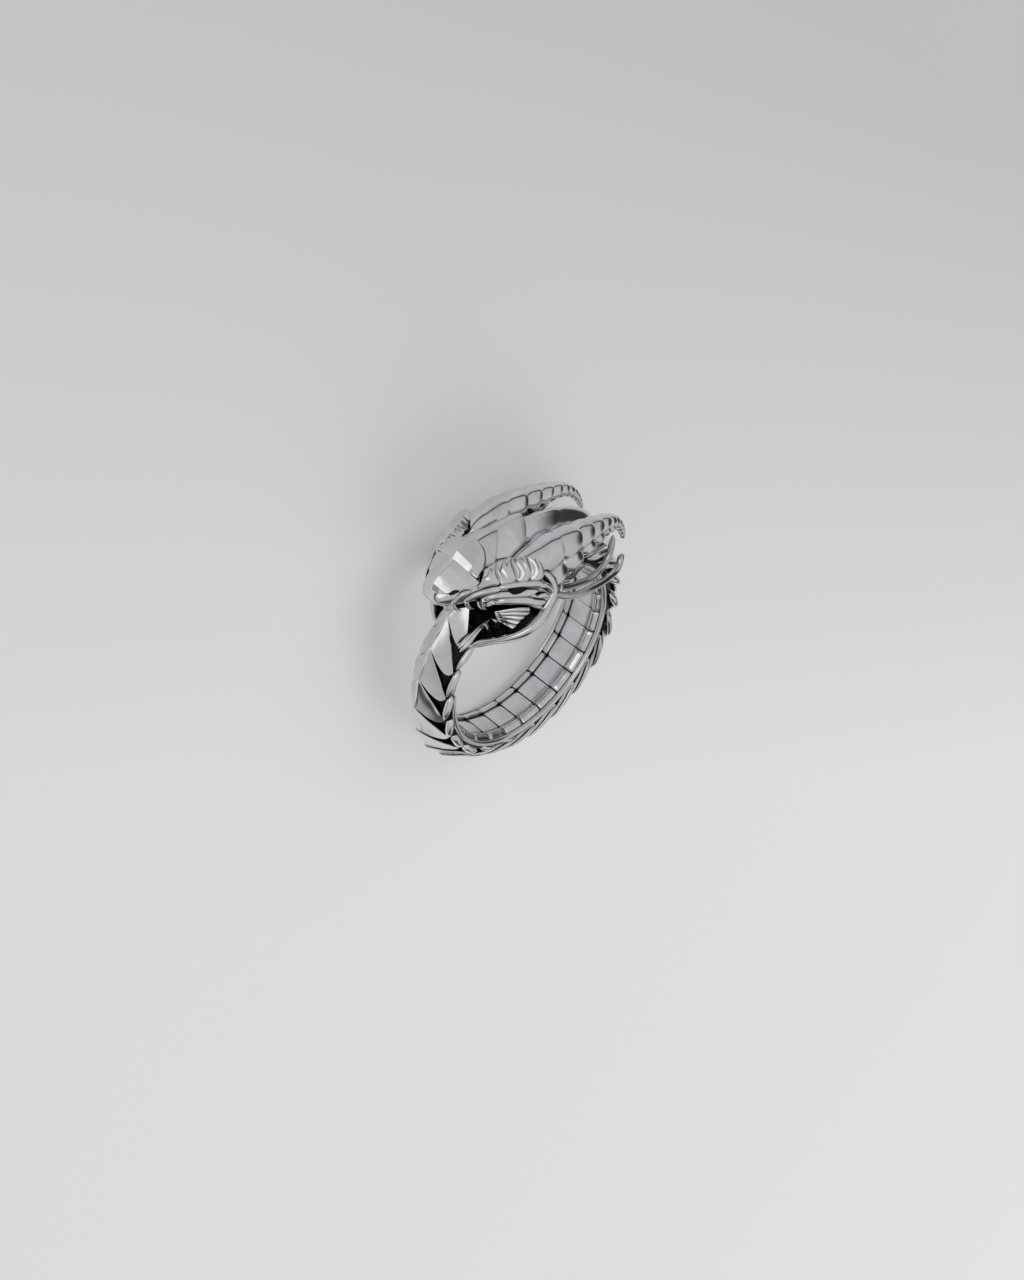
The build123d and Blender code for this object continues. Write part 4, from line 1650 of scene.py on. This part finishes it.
@dataclass
class Face(SubAssembly):
    """The face: folded brows, eyes, nostrils and the flowing ridges of the lips.

    Attributes:
        crest: the brow's upper line, rows of a share along it, then angle, height and side.
        foot: its lower line in the same terms.
        pleats: folds in the brow.
        pleat_rise: how far a fold stands out.
        pleat_spread: above 1 where the folds grow narrower from the snout.
        pleat_sway: how far a fold's line sways.
        slit_depth: how deep the slit in a fold is.
        slit_width: how wide it is beside the fold.
        slit_end: the share of the way down at which the slits end.
        brow_rise: how far the skin between the folds stands out.
        brow_sunk: how far the whole brow is set into the head.
        brow_depth: the brow's thickness.
        brow_turns: the angles of the ring at which its folds stand out, in front and behind.
        ridges: the ridges of the nose, lips and cheeks.
        curls: the curls behind them.
        eye: the eye's line and its sizes.
        nostril: the nostril's line and its sizes.
        ridge_lift: the direction in which the ridges' height is measured.
    """

    crest: Table = (
        (0.0, -20.5, 7.70, 2.45),
        (0.2, -17.2, 7.50, 2.70),
        (0.4, -13.6, 7.20, 3.05),
        (0.6, -10.2, 6.85, 3.55),
        (0.8, -6.8, 6.45, 4.20),
        (1.0, -4.2, 5.50, 4.80),
    )
    foot: Table = (
        (0.0, -26.0, 6.95, 3.15),
        (0.2, -22.3, 6.60, 3.60),
        (0.4, -18.6, 6.05, 4.15),
        (0.6, -14.8, 5.45, 4.65),
        (0.8, -11.0, 4.85, 5.10),
        (1.0, -7.0, 4.10, 5.50),
    )
    pleats: int = 4
    pleat_rise: float = 0.62
    pleat_spread: float = 1.12
    pleat_sway: float = 0.14
    slit_depth: float = 0.36
    slit_width: float = 0.11
    slit_end: float = 0.7
    brow_rise: float = 0.10
    brow_sunk: float = 0.12
    brow_depth: float = 0.9
    brow_turns: tuple[float, float] = (-20.0, -6.0)
    ridges: tuple[Ridge, ...] = (
        Ridge(((-34.6, 6.9, 2.3), (-32.6, 7.1, 2.65), (-30.3, 7.35, 2.95), (-27.6, 7.2, 3.15)), 0.30, 0.28),
        Ridge(((-32.0, 6.0, 3.0), (-29.5, 6.5, 3.35), (-26.8, 6.55, 3.6), (-23.5, 6.3, 3.8),
               (-20.0, 5.95, 4.15)), 0.40, 0.32),
        Ridge(((-28.6, 5.3, 3.7), (-25.6, 5.75, 4.1), (-22.6, 5.55, 4.35), (-19.0, 4.95, 4.75),
               (-15.0, 4.35, 5.3), (-10.0, 3.75, 5.75)), 0.42, 0.34),
        Ridge(((-26.2, 4.9, 4.35), (-23.0, 4.85, 4.6), (-19.5, 4.25, 5.0), (-16.0, 3.5, 5.45),
               (-12.5, 2.6, 5.85), (-9.0, 2.3, 6.2)), 0.44, 0.36),
        Ridge(((-21.5, 6.3, 3.95), (-18.0, 5.85, 4.45), (-14.0, 5.2, 4.95), (-9.5, 4.45, 5.5),
               (-5.5, 3.7, 5.85)), 0.34, 0.34),
    )
    curls: tuple[Ridge, ...] = (
        Ridge(((-12.0, 3.5, 5.95), (-8.8, 3.1, 6.15), (-7.8, 2.5, 6.25)), 0.26, 0.26),
        Ridge(((-10.0, 4.3, 5.7), (-7.0, 3.9, 5.85), (-5.2, 3.1, 6.0), (-5.4, 2.4, 6.1)), 0.28, 0.28),
        Ridge(((-4.5, 4.5, 4.9), (-2.4, 3.4, 5.4), (-3.6, 2.2, 5.85), (-8.0, 1.6, 6.05),
               (-14.0, 1.3, 6.1)), 0.52, 0.52),
        Ridge(((-16.5, 3.2, 5.5), (-13.6, 2.3, 5.95), (-11.6, 1.9, 6.15)), 0.20, 0.20),
    )
    eye: Ridge = Ridge(((-20.6, 5.35, 4.45), (-17.2, 5.15, 4.85), (-13.2, 4.55, 5.25)), 0.46, 0.37)
    nostril: Ridge = Ridge(((-32.9, 7.9, 2.0), (-31.3, 7.92, 2.3), (-29.8, 7.76, 2.6)), 0.24, 0.16)
    ridge_lift: tuple[float, float, float] = (-0.30, 0.42, 0.86)

    def _brow_place(self, along: float, down: float, sunk: float) -> Vector:
        """Finds a place on the pleated brow.

        Args:
            along: share along the brow from the snout.
            down: share from the crest to the foot.
            sunk: depth under the outer skin.

        Returns:
            The upright place.
        """
        high, low = self.spot(*read_table(self.crest, along)), self.spot(*read_table(self.foot, along))
        turn = math.radians(lerp(*self.brow_turns, along))
        out = Vector((math.sin(turn) * 0.6, math.cos(turn) * 0.6, 0.8)).normalized()
        phase = self.pleats * along**self.pleat_spread + self.pleat_sway * math.sin(4.0 * down + 3.0 * along)
        fold = (math.sin(math.pi * phase) ** 2 + 0.01) ** 0.3
        slit = math.exp(-(((phase + 0.05) % 1.0 - 0.5) / self.slit_width) ** 2)
        cut = self.slit_depth * slit * max(0.0, self.slit_end - down) * min(1.0, 4.0 * along)
        body = math.sin(math.pi * (0.06 + 0.88 * down)) ** 0.4
        rise = (self.brow_rise + self.pleat_rise * fold - cut) * body
        return lerp(high, low, down) + out * (rise - self.brow_sunk - sunk)

    def build(self) -> None:
        """Makes the brows, then the ridges of nose and lips, then eyes and nostrils."""
        lift = Vector(self.ridge_lift).normalized()
        bm = bmesh.new()
        plate(
            bm,
            across=self.pleats * 24,
            along=20,
            outer=lambda u, v: self._brow_place(u, v, 0.0),
            inner=lambda u, v: self._brow_place(u, v, self.brow_depth),
        )
        both_sides(bm)
        self.shop.piece("brow_folds", bm, SILVER, slim=True)
        bm = bmesh.new()
        for form in self.ridges:
            girth = leaf(0.22, 0.25, form.width, form.rise)
            rod(bm, self.route(form.route), girth, sides=12, steps=6, lift=lift)
        for form in self.curls:
            girth = leaf(0.3, 0.4, form.width, form.rise)
            rod(bm, self.route(form.route), girth, sides=12, steps=6, lift=SIDEWAYS)
        both_sides(bm)
        self.shop.piece("lip_ridges", bm, SILVER, slim=True)
        # painted shadow: the eye slits and nostrils are near-black rods that stand for the shade inside them
        bm = bmesh.new()
        for form in (self.eye, self.nostril):
            girth = leaf(0.5, 0.5, form.width, form.rise)
            rod(bm, self.route(form.route), girth, sides=14, steps=8, lift=lift)
        both_sides(bm)
        self.shop.piece("eyes_and_nostrils", bm, SHADOW_BLACK, slim=True)


class Tooth(NamedTuple):
    """A curved pointed tooth.

    Attributes:
        root: the angle, height and side of its root.
        tip: the same of its tip.
        radius: its radius at the root.
    """

    root: Spot
    tip: Spot
    radius: float


@dataclass
class Mouth(SubAssembly):
    """What shows in the open mouth: fangs, lower teeth, the tongue, the ribbed fans and near-black sheets of
    painted shadow inside it.

    Attributes:
        fangs: the upper teeth.
        fang_bow: how far their middles bend towards the snout.
        teeth: the lower teeth.
        tooth_bow: how far their middles bend back from it.
        tongue: the tongue's line and its sizes.
        fan_hub: the spots at both ends of the near fan's hub.
        fan_rim: the same for its rim.
        fan_bulge: how far its rim bulges, in the upright frame.
        fan_rise: how far it arches between hub and rim.
        fan_depth: its thickness.
        ribs: how many ribs it has.
        rib_rise: how far they stand out.
        floor_ends: the angles between which the sheet of painted shadow on the mouth's floor lies.
        floor_widths: rows of angle and half the floor's width there.
        floor_height: the floor's height.
        floor_rim: how much higher its sides are.
        floor_depth: the floor's thickness.
        roof_ends: the angles between which the sheet of painted shadow under the mouth's roof lies.
        roof_forms: rows of angle, half the roof's width and its height there.
        roof_rim: how much lower its sides are.
        roof_depth: the roof's thickness.
        shadow_sheet_grid: faces across and along the floor and the roof.
    """

    fangs: tuple[Tooth, ...] = (
        Tooth((-33.9, 6.9, 2.35), (-34.3, 5.4, 2.75), 0.22),
        Tooth((-30.9, 6.2, 3.05), (-31.4, 4.5, 3.35), 0.26),
        Tooth((-28.0, 5.7, 3.75), (-28.7, 3.9, 4.10), 0.29),
        Tooth((-35.8, 6.9, 1.5), (-36.4, 5.9, 1.9), 0.18),
    )
    fang_bow: float = 0.22
    teeth: tuple[Tooth, ...] = (
        Tooth((-35.2, 0.9, 4.5), (-33.8, 2.5, 4.15), 0.27),
        Tooth((-31.4, 0.9, 4.9), (-29.9, 2.5, 4.55), 0.27),
    )
    tooth_bow: float = 0.12
    tongue: Ridge = Ridge(
        ((-8.0, 1.3, 0.0), (-16.0, 1.6, 0.0), (-24.0, 1.8, 0.0), (-31.0, 1.2, 0.0)), 2.7, 0.75
    )
    fan_hub: tuple[Spot, Spot] = ((-26.5, 1.7, 2.8), (-29.0, 1.0, 3.3))
    fan_rim: tuple[Spot, Spot] = ((-14.2, 1.1, 4.8), (-27.5, 0.8, 5.2))
    fan_bulge: tuple[float, float, float] = (0.55, -0.25, 0.35)
    fan_rise: float = 0.35
    fan_depth: float = 0.3
    ribs: int = 5
    rib_rise: float = 0.11
    floor_ends: tuple[float, float] = (-49.0, -7.0)
    floor_widths: Table = (
        (-49.0, 0.9), (-41.0, 2.9), (-34.0, 4.3), (-26.0, 5.5), (-18.0, 5.9), (-10.0, 5.8), (-6.0, 5.6),
    )
    floor_height: float = 0.72
    floor_rim: float = 0.55
    floor_depth: float = 0.05
    roof_ends: tuple[float, float] = (-35.0, -8.0)
    roof_forms: Table = (
        (-35.0, 1.6, 5.9), (-30.0, 2.7, 5.2), (-24.0, 3.6, 4.7), (-18.0, 4.6, 3.9), (-12.0, 5.2, 2.3),
        (-8.0, 5.5, 1.3),
    )
    roof_rim: float = 0.25
    roof_depth: float = 0.06
    shadow_sheet_grid: int = 24

    def _floor_place(self, across: float, along: float, lift: float) -> Vector:
        """Finds a place on the sheet of painted shadow on the mouth's floor.

        Args:
            across: share across the jaw.
            along: share along it from the snout.
            lift: height over the floor's underside.

        Returns:
            The upright place.
        """
        angle = lerp(*self.floor_ends, along)
        (width,) = read_table(self.floor_widths, angle)
        reach = 2.0 * across - 1.0
        return self.spot(angle, self.floor_height + self.floor_rim * abs(reach) ** 8 + lift, width * reach)

    def _roof_place(self, across: float, along: float, lift: float) -> Vector:
        """Finds a place on the sheet of painted shadow under the mouth's roof.

        Args:
            across: share across the head.
            along: share along it from the snout.
            lift: height over the roof's underside.

        Returns:
            The upright place.
        """
        angle = lerp(*self.roof_ends, along)
        width, height = read_table(self.roof_forms, angle)
        reach = 2.0 * across - 1.0
        return self.spot(angle, height - self.roof_rim * abs(reach) ** 3 + lift, width * reach)

    def _fan_place(self, across: float, along: float, sunk: float) -> Vector:
        """Finds a place on the ribbed fan that spreads in the near cheek.

        Args:
            across: share across its ribs.
            along: share from its hub to its rim.
            sunk: depth under its upper skin.

        Returns:
            The upright place.
        """
        hub, rim = (
            self.spot(*(lerp(first, last, across) for first, last in zip(*ends)))
            for ends in (self.fan_hub, self.fan_rim)
        )
        rim += Vector(self.fan_bulge) * math.sin(math.pi * across)
        rib = abs(math.sin(math.pi * self.ribs * across)) ** 0.6 * min(1.0, 2.5 * along)
        rise = self.fan_rise * math.sin(math.pi * (0.1 + 0.8 * along)) + self.rib_rise * rib
        place = lerp(hub, rim, along)
        return place + outward(place) * (rise - sunk)

    def _add_tooth(self, bm: bmesh.types.BMesh, tooth: Tooth, bow: float) -> None:
        """Makes one tooth.

        Args:
            bm: the mesh that it is made in.
            tooth: the tooth.
            bow: how far its middle bends towards the snout.
        """
        root, tip = self.spot(*tooth.root), self.spot(*tooth.tip)
        ahead = outward(root).cross(SIDEWAYS)
        middle = lerp(root, tip, 0.55) - ahead * bow
        rod(bm, (root, middle, tip), leaf(0.0, 1.0, tooth.radius), lift=SIDEWAYS)

    def build(self) -> None:
        """Makes the teeth, then the tongue with the fans, then the mouth's sheets of painted shadow."""
        bm = bmesh.new()
        for tooth in self.fangs:
            self._add_tooth(bm, tooth, self.fang_bow)
        for tooth in self.teeth:
            self._add_tooth(bm, tooth, -self.tooth_bow)
        both_sides(bm)
        self.shop.piece("fangs_and_teeth", bm, SILVER, slim=True)
        bm = bmesh.new()
        plate(
            bm,
            across=self.ribs * 8,
            along=12,
            outer=lambda u, v: self._fan_place(u, v, 0.0),
            inner=lambda u, v: self._fan_place(u, v, self.fan_depth),
        )
        girth = leaf(0.2, 0.5, self.tongue.width, self.tongue.rise)
        rod(bm, self.route(self.tongue.route), girth, sides=18, steps=6)
        both_sides(bm)
        self.shop.piece("tongue", bm, SILVER)
        # painted shadow: two near-black sheets darken the inside of the mouth where shade falls
        bm = bmesh.new()
        plate(
            bm,
            across=self.shadow_sheet_grid,
            along=self.shadow_sheet_grid,
            outer=lambda u, v: self._floor_place(u, v, self.floor_depth),
            inner=lambda u, v: self._floor_place(u, v, 0.0),
        )
        plate(
            bm,
            across=self.shadow_sheet_grid,
            along=self.shadow_sheet_grid,
            outer=lambda u, v: self._roof_place(u, v, 0.0),
            inner=lambda u, v: self._roof_place(u, v, self.roof_depth),
        )
        self.shop.piece("mouth_painted_shadow", bm, SHADOW_BLACK)


class Whisker(NamedTuple):
    """A whisker or spike.

    Attributes:
        route: the angle, height and side of each place that it passes.
        radius: its radius.
        fade: the share of its length over which it fades to its tip.
    """

    route: Route
    radius: float
    fade: float


@dataclass
class Whiskers(SubAssembly):
    """The long whiskers that sweep back from behind the jaw, and the tail's spikes in the mouth.

    Attributes:
        whiskers: the near side's whiskers.
        whisker_swell: the share of its length over which a whisker swells.
        spikes: the spikes on the side where the jaw leaves them room.
        spike_swell: the same share for a spike.
    """

    whiskers: tuple[Whisker, ...] = (
        Whisker(((-5.0, 2.1, 5.5), (2.0, 1.1, 6.15), (10.0, 0.56, 6.5), (20.0, 0.48, 6.5), (30.0, 0.56, 6.25),
                 (38.0, 0.95, 5.95), (44.2, 1.5, 5.65), (46.6, 2.25, 5.4), (46.6, 3.0, 5.15),
                 (48.0, 3.35, 5.0)), 0.35, 0.14),
        Whisker(((-4.0, 2.4, 4.9), (1.0, 1.75, 5.15), (7.0, 0.85, 5.2), (15.0, 0.42, 5.25), (26.0, 0.40, 5.2),
                 (33.0, 0.90, 5.1), (38.2, 1.65, 4.85), (39.6, 2.9, 4.7), (37.6, 4.1, 4.65),
                 (35.6, 4.95, 4.65)), 0.33, 0.14),
        Whisker(((-3.0, 3.0, 5.0), (4.0, 1.9, 5.1), (12.0, 1.25, 4.9), (21.0, 1.25, 4.5),
                 (29.0, 1.55, 4.2)), 0.27, 0.6),
        Whisker(((0.0, 3.0, 5.2), (7.0, 2.1, 5.5), (14.0, 1.75, 5.2), (21.0, 1.9, 4.8)), 0.22, 0.6),
        Whisker(((0.0, 3.7, 4.5), (9.0, 2.9, 4.6), (18.0, 2.5, 4.2), (26.0, 2.9, 3.9)), 0.25, 0.6),
    )
    whisker_swell: float = 0.10
    spikes: tuple[Whisker, ...] = (
        Whisker(((309.5, 2.10, 2.25), (316.0, 1.82, 2.40), (323.0, 1.42, 2.45),
                 (330.8, 0.82, 2.40)), 0.30, 0.85),
        Whisker(((311.0, 2.45, 2.15), (319.0, 1.98, 2.30), (328.5, 1.15, 2.35)), 0.20, 0.85),
    )
    spike_swell: float = 0.3

    def _row(self, forms: Sequence[Whisker], swell: float) -> bmesh.types.BMesh:
        """Makes a row of whiskers or spikes.

        Args:
            forms: the whiskers or spikes.
            swell: the share of its length over which each swells.

        Returns:
            The mesh that holds them.
        """
        bm = bmesh.new()
        for form in forms:
            girth = leaf(swell, form.fade, form.radius)
            rod(bm, self.route(form.route), girth, sides=14, steps=8, lift=SIDEWAYS)
        return bm

    def build(self) -> None:
        """Makes the whiskers on both sides, then the spikes on the near side."""
        whiskers = self._row(self.whiskers, self.whisker_swell)
        both_sides(whiskers)
        # the whiskers get the darker silver as painted shade
        self.shop.piece("whiskers", whiskers, SHADED_SILVER)
        self.shop.piece("tail_spikes", self._row(self.spikes, self.spike_swell), SILVER)


class Screen(NamedTuple):
    """A round patch of the room that the metal reflects.

    Attributes:
        toward: the direction in which it stands.
        full: the angle from that direction within which it is full.
        end: the angle at which it ends.
        grey: how bright it is.
    """

    toward: tuple[float, float, float]
    full: float
    end: float
    grey: float


class Softbox(NamedTuple):
    """A softbox that faces the ring.

    Attributes:
        name: its name.
        place: where it hangs, in metres.
        size: its width and height, in metres.
        watts: its power.
    """

    name: str
    place: tuple[float, float, float]
    size: float
    watts: float


@dataclass
class Studio:
    """The floor, the lights and the camera at the photograph's angle.

    Attributes:
        frame: where the ring's places lie.
        toward: direction from the ring to the camera in the ring's upright frame.
        up: the picture's up direction in the same frame.
        distance: from the ring's middle to the camera, in millimetres.
        aim: where the picture's middle lies across and up from the ring's middle.
        picture_height: the picture's long side in pixels.
        pixels_per_millimetre: the picture's scale at the ring's middle.
        sensor: the width of the camera's sensor, in millimetres.
        paper: the floor's colour.
        paper_glow: the colour of the painted light in which it glows.
        glow_behind: how far up the picture the floor's painted glow is least, in metres, and how strongly.
        glow_before: how far up the picture the painted glow is most, in metres, and how strongly.
        floor_size: half the floor's side, in metres.
        room: the room's grey from straight below (0) to straight above (1).
        backdrop: the colour of the room where the camera sees it straight.
        screens: a dark one to the right, a dark one below the ring and a bright one over the snout.
        softboxes: the lamps.
    """

    frame: RingFrame
    toward: tuple[float, float, float] = (-0.470, 0.744, 0.475)
    up: tuple[float, float, float] = (0.523, 0.668, -0.529)
    distance: float = 185.0
    aim: tuple[float, float] = (-0.15, 0.19)
    picture_height: int = 1280
    pixels_per_millimetre: float = 10.172
    sensor: float = 36.0
    paper: Colour = (0.39, 0.395, 0.40)
    paper_glow: Colour = (0.99, 1.0, 1.01)
    glow_behind: tuple[float, float] = (0.062, 0.155)
    glow_before: tuple[float, float] = (-0.018, 0.355)
    floor_size: float = 6.0
    room: Table = ((0.0, 0.30), (0.49, 0.20), (0.515, 0.01), (0.55, 0.04), (0.60, 0.50), (1.0, 0.60))
    backdrop: Colour = (0.60, 0.61, 0.62)
    screens: tuple[Screen, ...] = (
        Screen((0.93, -0.15, 0.25), 16.0, 34.0, 0.04),
        Screen((-0.20, -0.95, 0.30), 12.0, 28.0, 0.08),
        Screen((-0.70, 0.42, 0.54), 16.0, 21.0, 1.15),
    )
    softboxes: tuple[Softbox, ...] = (
        Softbox("key", (0.81, 0.69, 0.75), 1.0, 5.0),
        Softbox("fill", (0.1, -0.75, 0.55), 0.8, 4.0),
    )

    def camera(self) -> None:
        """Sets the camera up."""
        lean = Matrix.Rotation(self.frame.lean, 3, "X")
        back = lean @ Vector(self.toward).normalized()
        rise = lean @ Vector(self.up).normalized()
        right = rise.cross(back).normalized()
        rise = back.cross(right)
        spot = right * self.aim[0] + rise * self.aim[1] + back * self.distance
        data = bpy.data.cameras.new("camera")
        data.sensor_width = self.sensor
        data.lens = data.sensor_width * self.distance * self.pixels_per_millimetre / self.picture_height
        data.clip_start = 0.01
        data.clip_end = 50.0
        made = bpy.data.objects.new("camera", data)
        turned = Matrix((right, rise, back)).transposed().to_4x4()
        made.matrix_world = Matrix.Translation(spot * MILLIMETRE) @ turned
        bpy.context.scene.collection.objects.link(made)
        bpy.context.scene.camera = made

    def _paper(self) -> bpy.types.Material:
        """Makes the floor's paper, half of whose light is a painted glow that grows towards the viewer.

        Returns:
            Its material.
        """
        made = bpy.data.materials.new("floor_paper")
        made.use_nodes = True
        tree = made.node_tree
        surface = tree.nodes["Principled BSDF"]
        surface.inputs["Base Color"].default_value = (*self.paper, 1.0)
        surface.inputs["Roughness"].default_value = 0.85
        surface.inputs["Specular IOR Level"].default_value = 0.15
        # painted light: the paper glows, more towards the viewer, lightening the ring's shadow and the near
        # floor
        surface.inputs["Emission Color"].default_value = (*self.paper_glow, 1.0)
        place = tree.nodes.new("ShaderNodeTexCoord")
        rise = tree.nodes.new("ShaderNodeVectorMath")
        rise.operation = "DOT_PRODUCT"
        rise.inputs[1].default_value = self.frame.to_part().to_3x3().normalized() @ Vector(self.up)
        glow = tree.nodes.new("ShaderNodeMapRange")
        glow.inputs["From Min"].default_value, glow.inputs["To Min"].default_value = self.glow_behind
        glow.inputs["From Max"].default_value, glow.inputs["To Max"].default_value = self.glow_before
        tree.links.new(place.outputs["Object"], rise.inputs[0])
        tree.links.new(rise.outputs["Value"], glow.inputs["Value"])
        tree.links.new(glow.outputs["Result"], surface.inputs["Emission Strength"])
        return made

    def floor(self, level: float) -> None:
        """Lays the floor.

        Args:
            level: its height in metres.
        """
        bm = bmesh.new()
        bmesh.ops.create_grid(bm, x_segments=1, y_segments=1, size=self.floor_size)
        bmesh.ops.translate(bm, verts=bm.verts, vec=(0.0, 0.0, level))
        mesh = bpy.data.meshes.new("floor")
        bm.to_mesh(mesh)
        bm.free()
        mesh.materials.append(self._paper())
        made = bpy.data.objects.new("floor", mesh)
        bpy.context.scene.collection.objects.link(made)
        made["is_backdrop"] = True

    def hang(self, softbox: Softbox) -> None:
        """Hangs a softbox, which the metal doesn't reflect.

        Args:
            softbox: the softbox.
        """
        data = bpy.data.lights.new(softbox.name, "AREA")
        data.shape = "SQUARE"
        data.size = softbox.size
        data.energy = softbox.watts
        made = bpy.data.objects.new(softbox.name, data)
        made.location = softbox.place
        made.rotation_mode = "QUATERNION"
        made.rotation_quaternion = Vector(softbox.place).to_track_quat("Z", "Y")
        made.visible_glossy = False
        bpy.context.scene.collection.objects.link(made)

    def _add_screen(
        self, tree: bpy.types.NodeTree, place: bpy.types.Node, room: bpy.types.NodeSocket, screen: Screen
    ) -> bpy.types.NodeSocket:
        """Stands a screen in the room.

        Args:
            tree: the world's nodes.
            place: the node that gives the direction.
            room: the output that gives the room's colour.
            screen: the screen.

        Returns:
            The output that gives the room's colour with the screen.
        """
        near = tree.nodes.new("ShaderNodeVectorMath")
        near.operation = "DOT_PRODUCT"
        near.inputs[1].default_value = Vector(screen.toward).normalized()
        tree.links.new(place.outputs["Generated"], near.inputs[0])
        mask = tree.nodes.new("ShaderNodeMapRange")
        mask.interpolation_type = "SMOOTHSTEP"
        mask.inputs["From Min"].default_value = math.cos(math.radians(screen.end))
        mask.inputs["From Max"].default_value = math.cos(math.radians(screen.full))
        tree.links.new(near.outputs["Value"], mask.inputs["Value"])
        return mix_colours(tree, mask.outputs["Result"], room, (screen.grey,) * 3)

    def world(self) -> None:
        """Surrounds the ring with a pale room that has a dark skirting and screens."""
        world = bpy.data.worlds.new("room")
        world.use_nodes = True
        tree = world.node_tree
        place = tree.nodes.new("ShaderNodeTexCoord")
        split = tree.nodes.new("ShaderNodeSeparateXYZ")
        scale = tree.nodes.new("ShaderNodeMapRange")
        scale.inputs["From Min"].default_value = -1.0
        ramp = tree.nodes.new("ShaderNodeValToRGB")
        while len(ramp.color_ramp.elements) < len(self.room):
            ramp.color_ramp.elements.new(0.5)
        for element, (position, grey) in zip(ramp.color_ramp.elements, self.room):
            element.position = position
            element.color = (grey, grey, grey * 1.02, 1.0)
        tree.links.new(place.outputs["Generated"], split.inputs["Vector"])
        tree.links.new(split.outputs["Z"], scale.inputs["Value"])
        tree.links.new(scale.outputs["Result"], ramp.inputs["Fac"])
        colour = ramp.outputs["Color"]
        for screen in self.screens:
            colour = self._add_screen(tree, place, colour, screen)
        path = tree.nodes.new("ShaderNodeLightPath")
        colour = mix_colours(tree, path.outputs["Is Camera Ray"], colour, self.backdrop)
        tree.links.new(colour, tree.nodes["Background"].inputs["Color"])
        bpy.context.scene.world = world

    def build(self, level: float) -> None:
        """Sets up the whole studio.

        Args:
            level: the floor's height in metres.
        """
        self.camera()
        self.floor(level)
        self.world()
        for softbox in self.softboxes:
            self.hang(softbox)
        bpy.context.scene.view_settings.view_transform = "Standard"
        bpy.context.scene.view_settings.look = "None"


def corners(box: tuple[Vector, Vector]) -> list[list[float]]:
    """A box's two corners as plain lists of numbers."""
    return [[float(number) for number in corner] for corner in box]


def main() -> None:
    """Builds the ring and its studio."""
    logging.basicConfig(level=logging.INFO, format="%(name)s: %(message)s")
    cad_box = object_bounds()
    ring = RingFrame.from_record(frame["record"])
    shop = Workshop(ring)
    band = (SideBand, BellyBand, BackScales)
    head = (Skull, CrownPlates, Horns, Jaw, Face, Mouth, Whiskers)
    for sub_assembly in band + head:
        sub_assembly(shop).build()
    for piece in shop.made:
        LOG.info("%s: %d faces", piece.name, len(piece.data.polygons))
    Studio(ring).build(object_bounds()[0].z)
    {"cad": corners(cad_box), "visual": corners(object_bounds())}


if __name__ == "__main__":
    main()
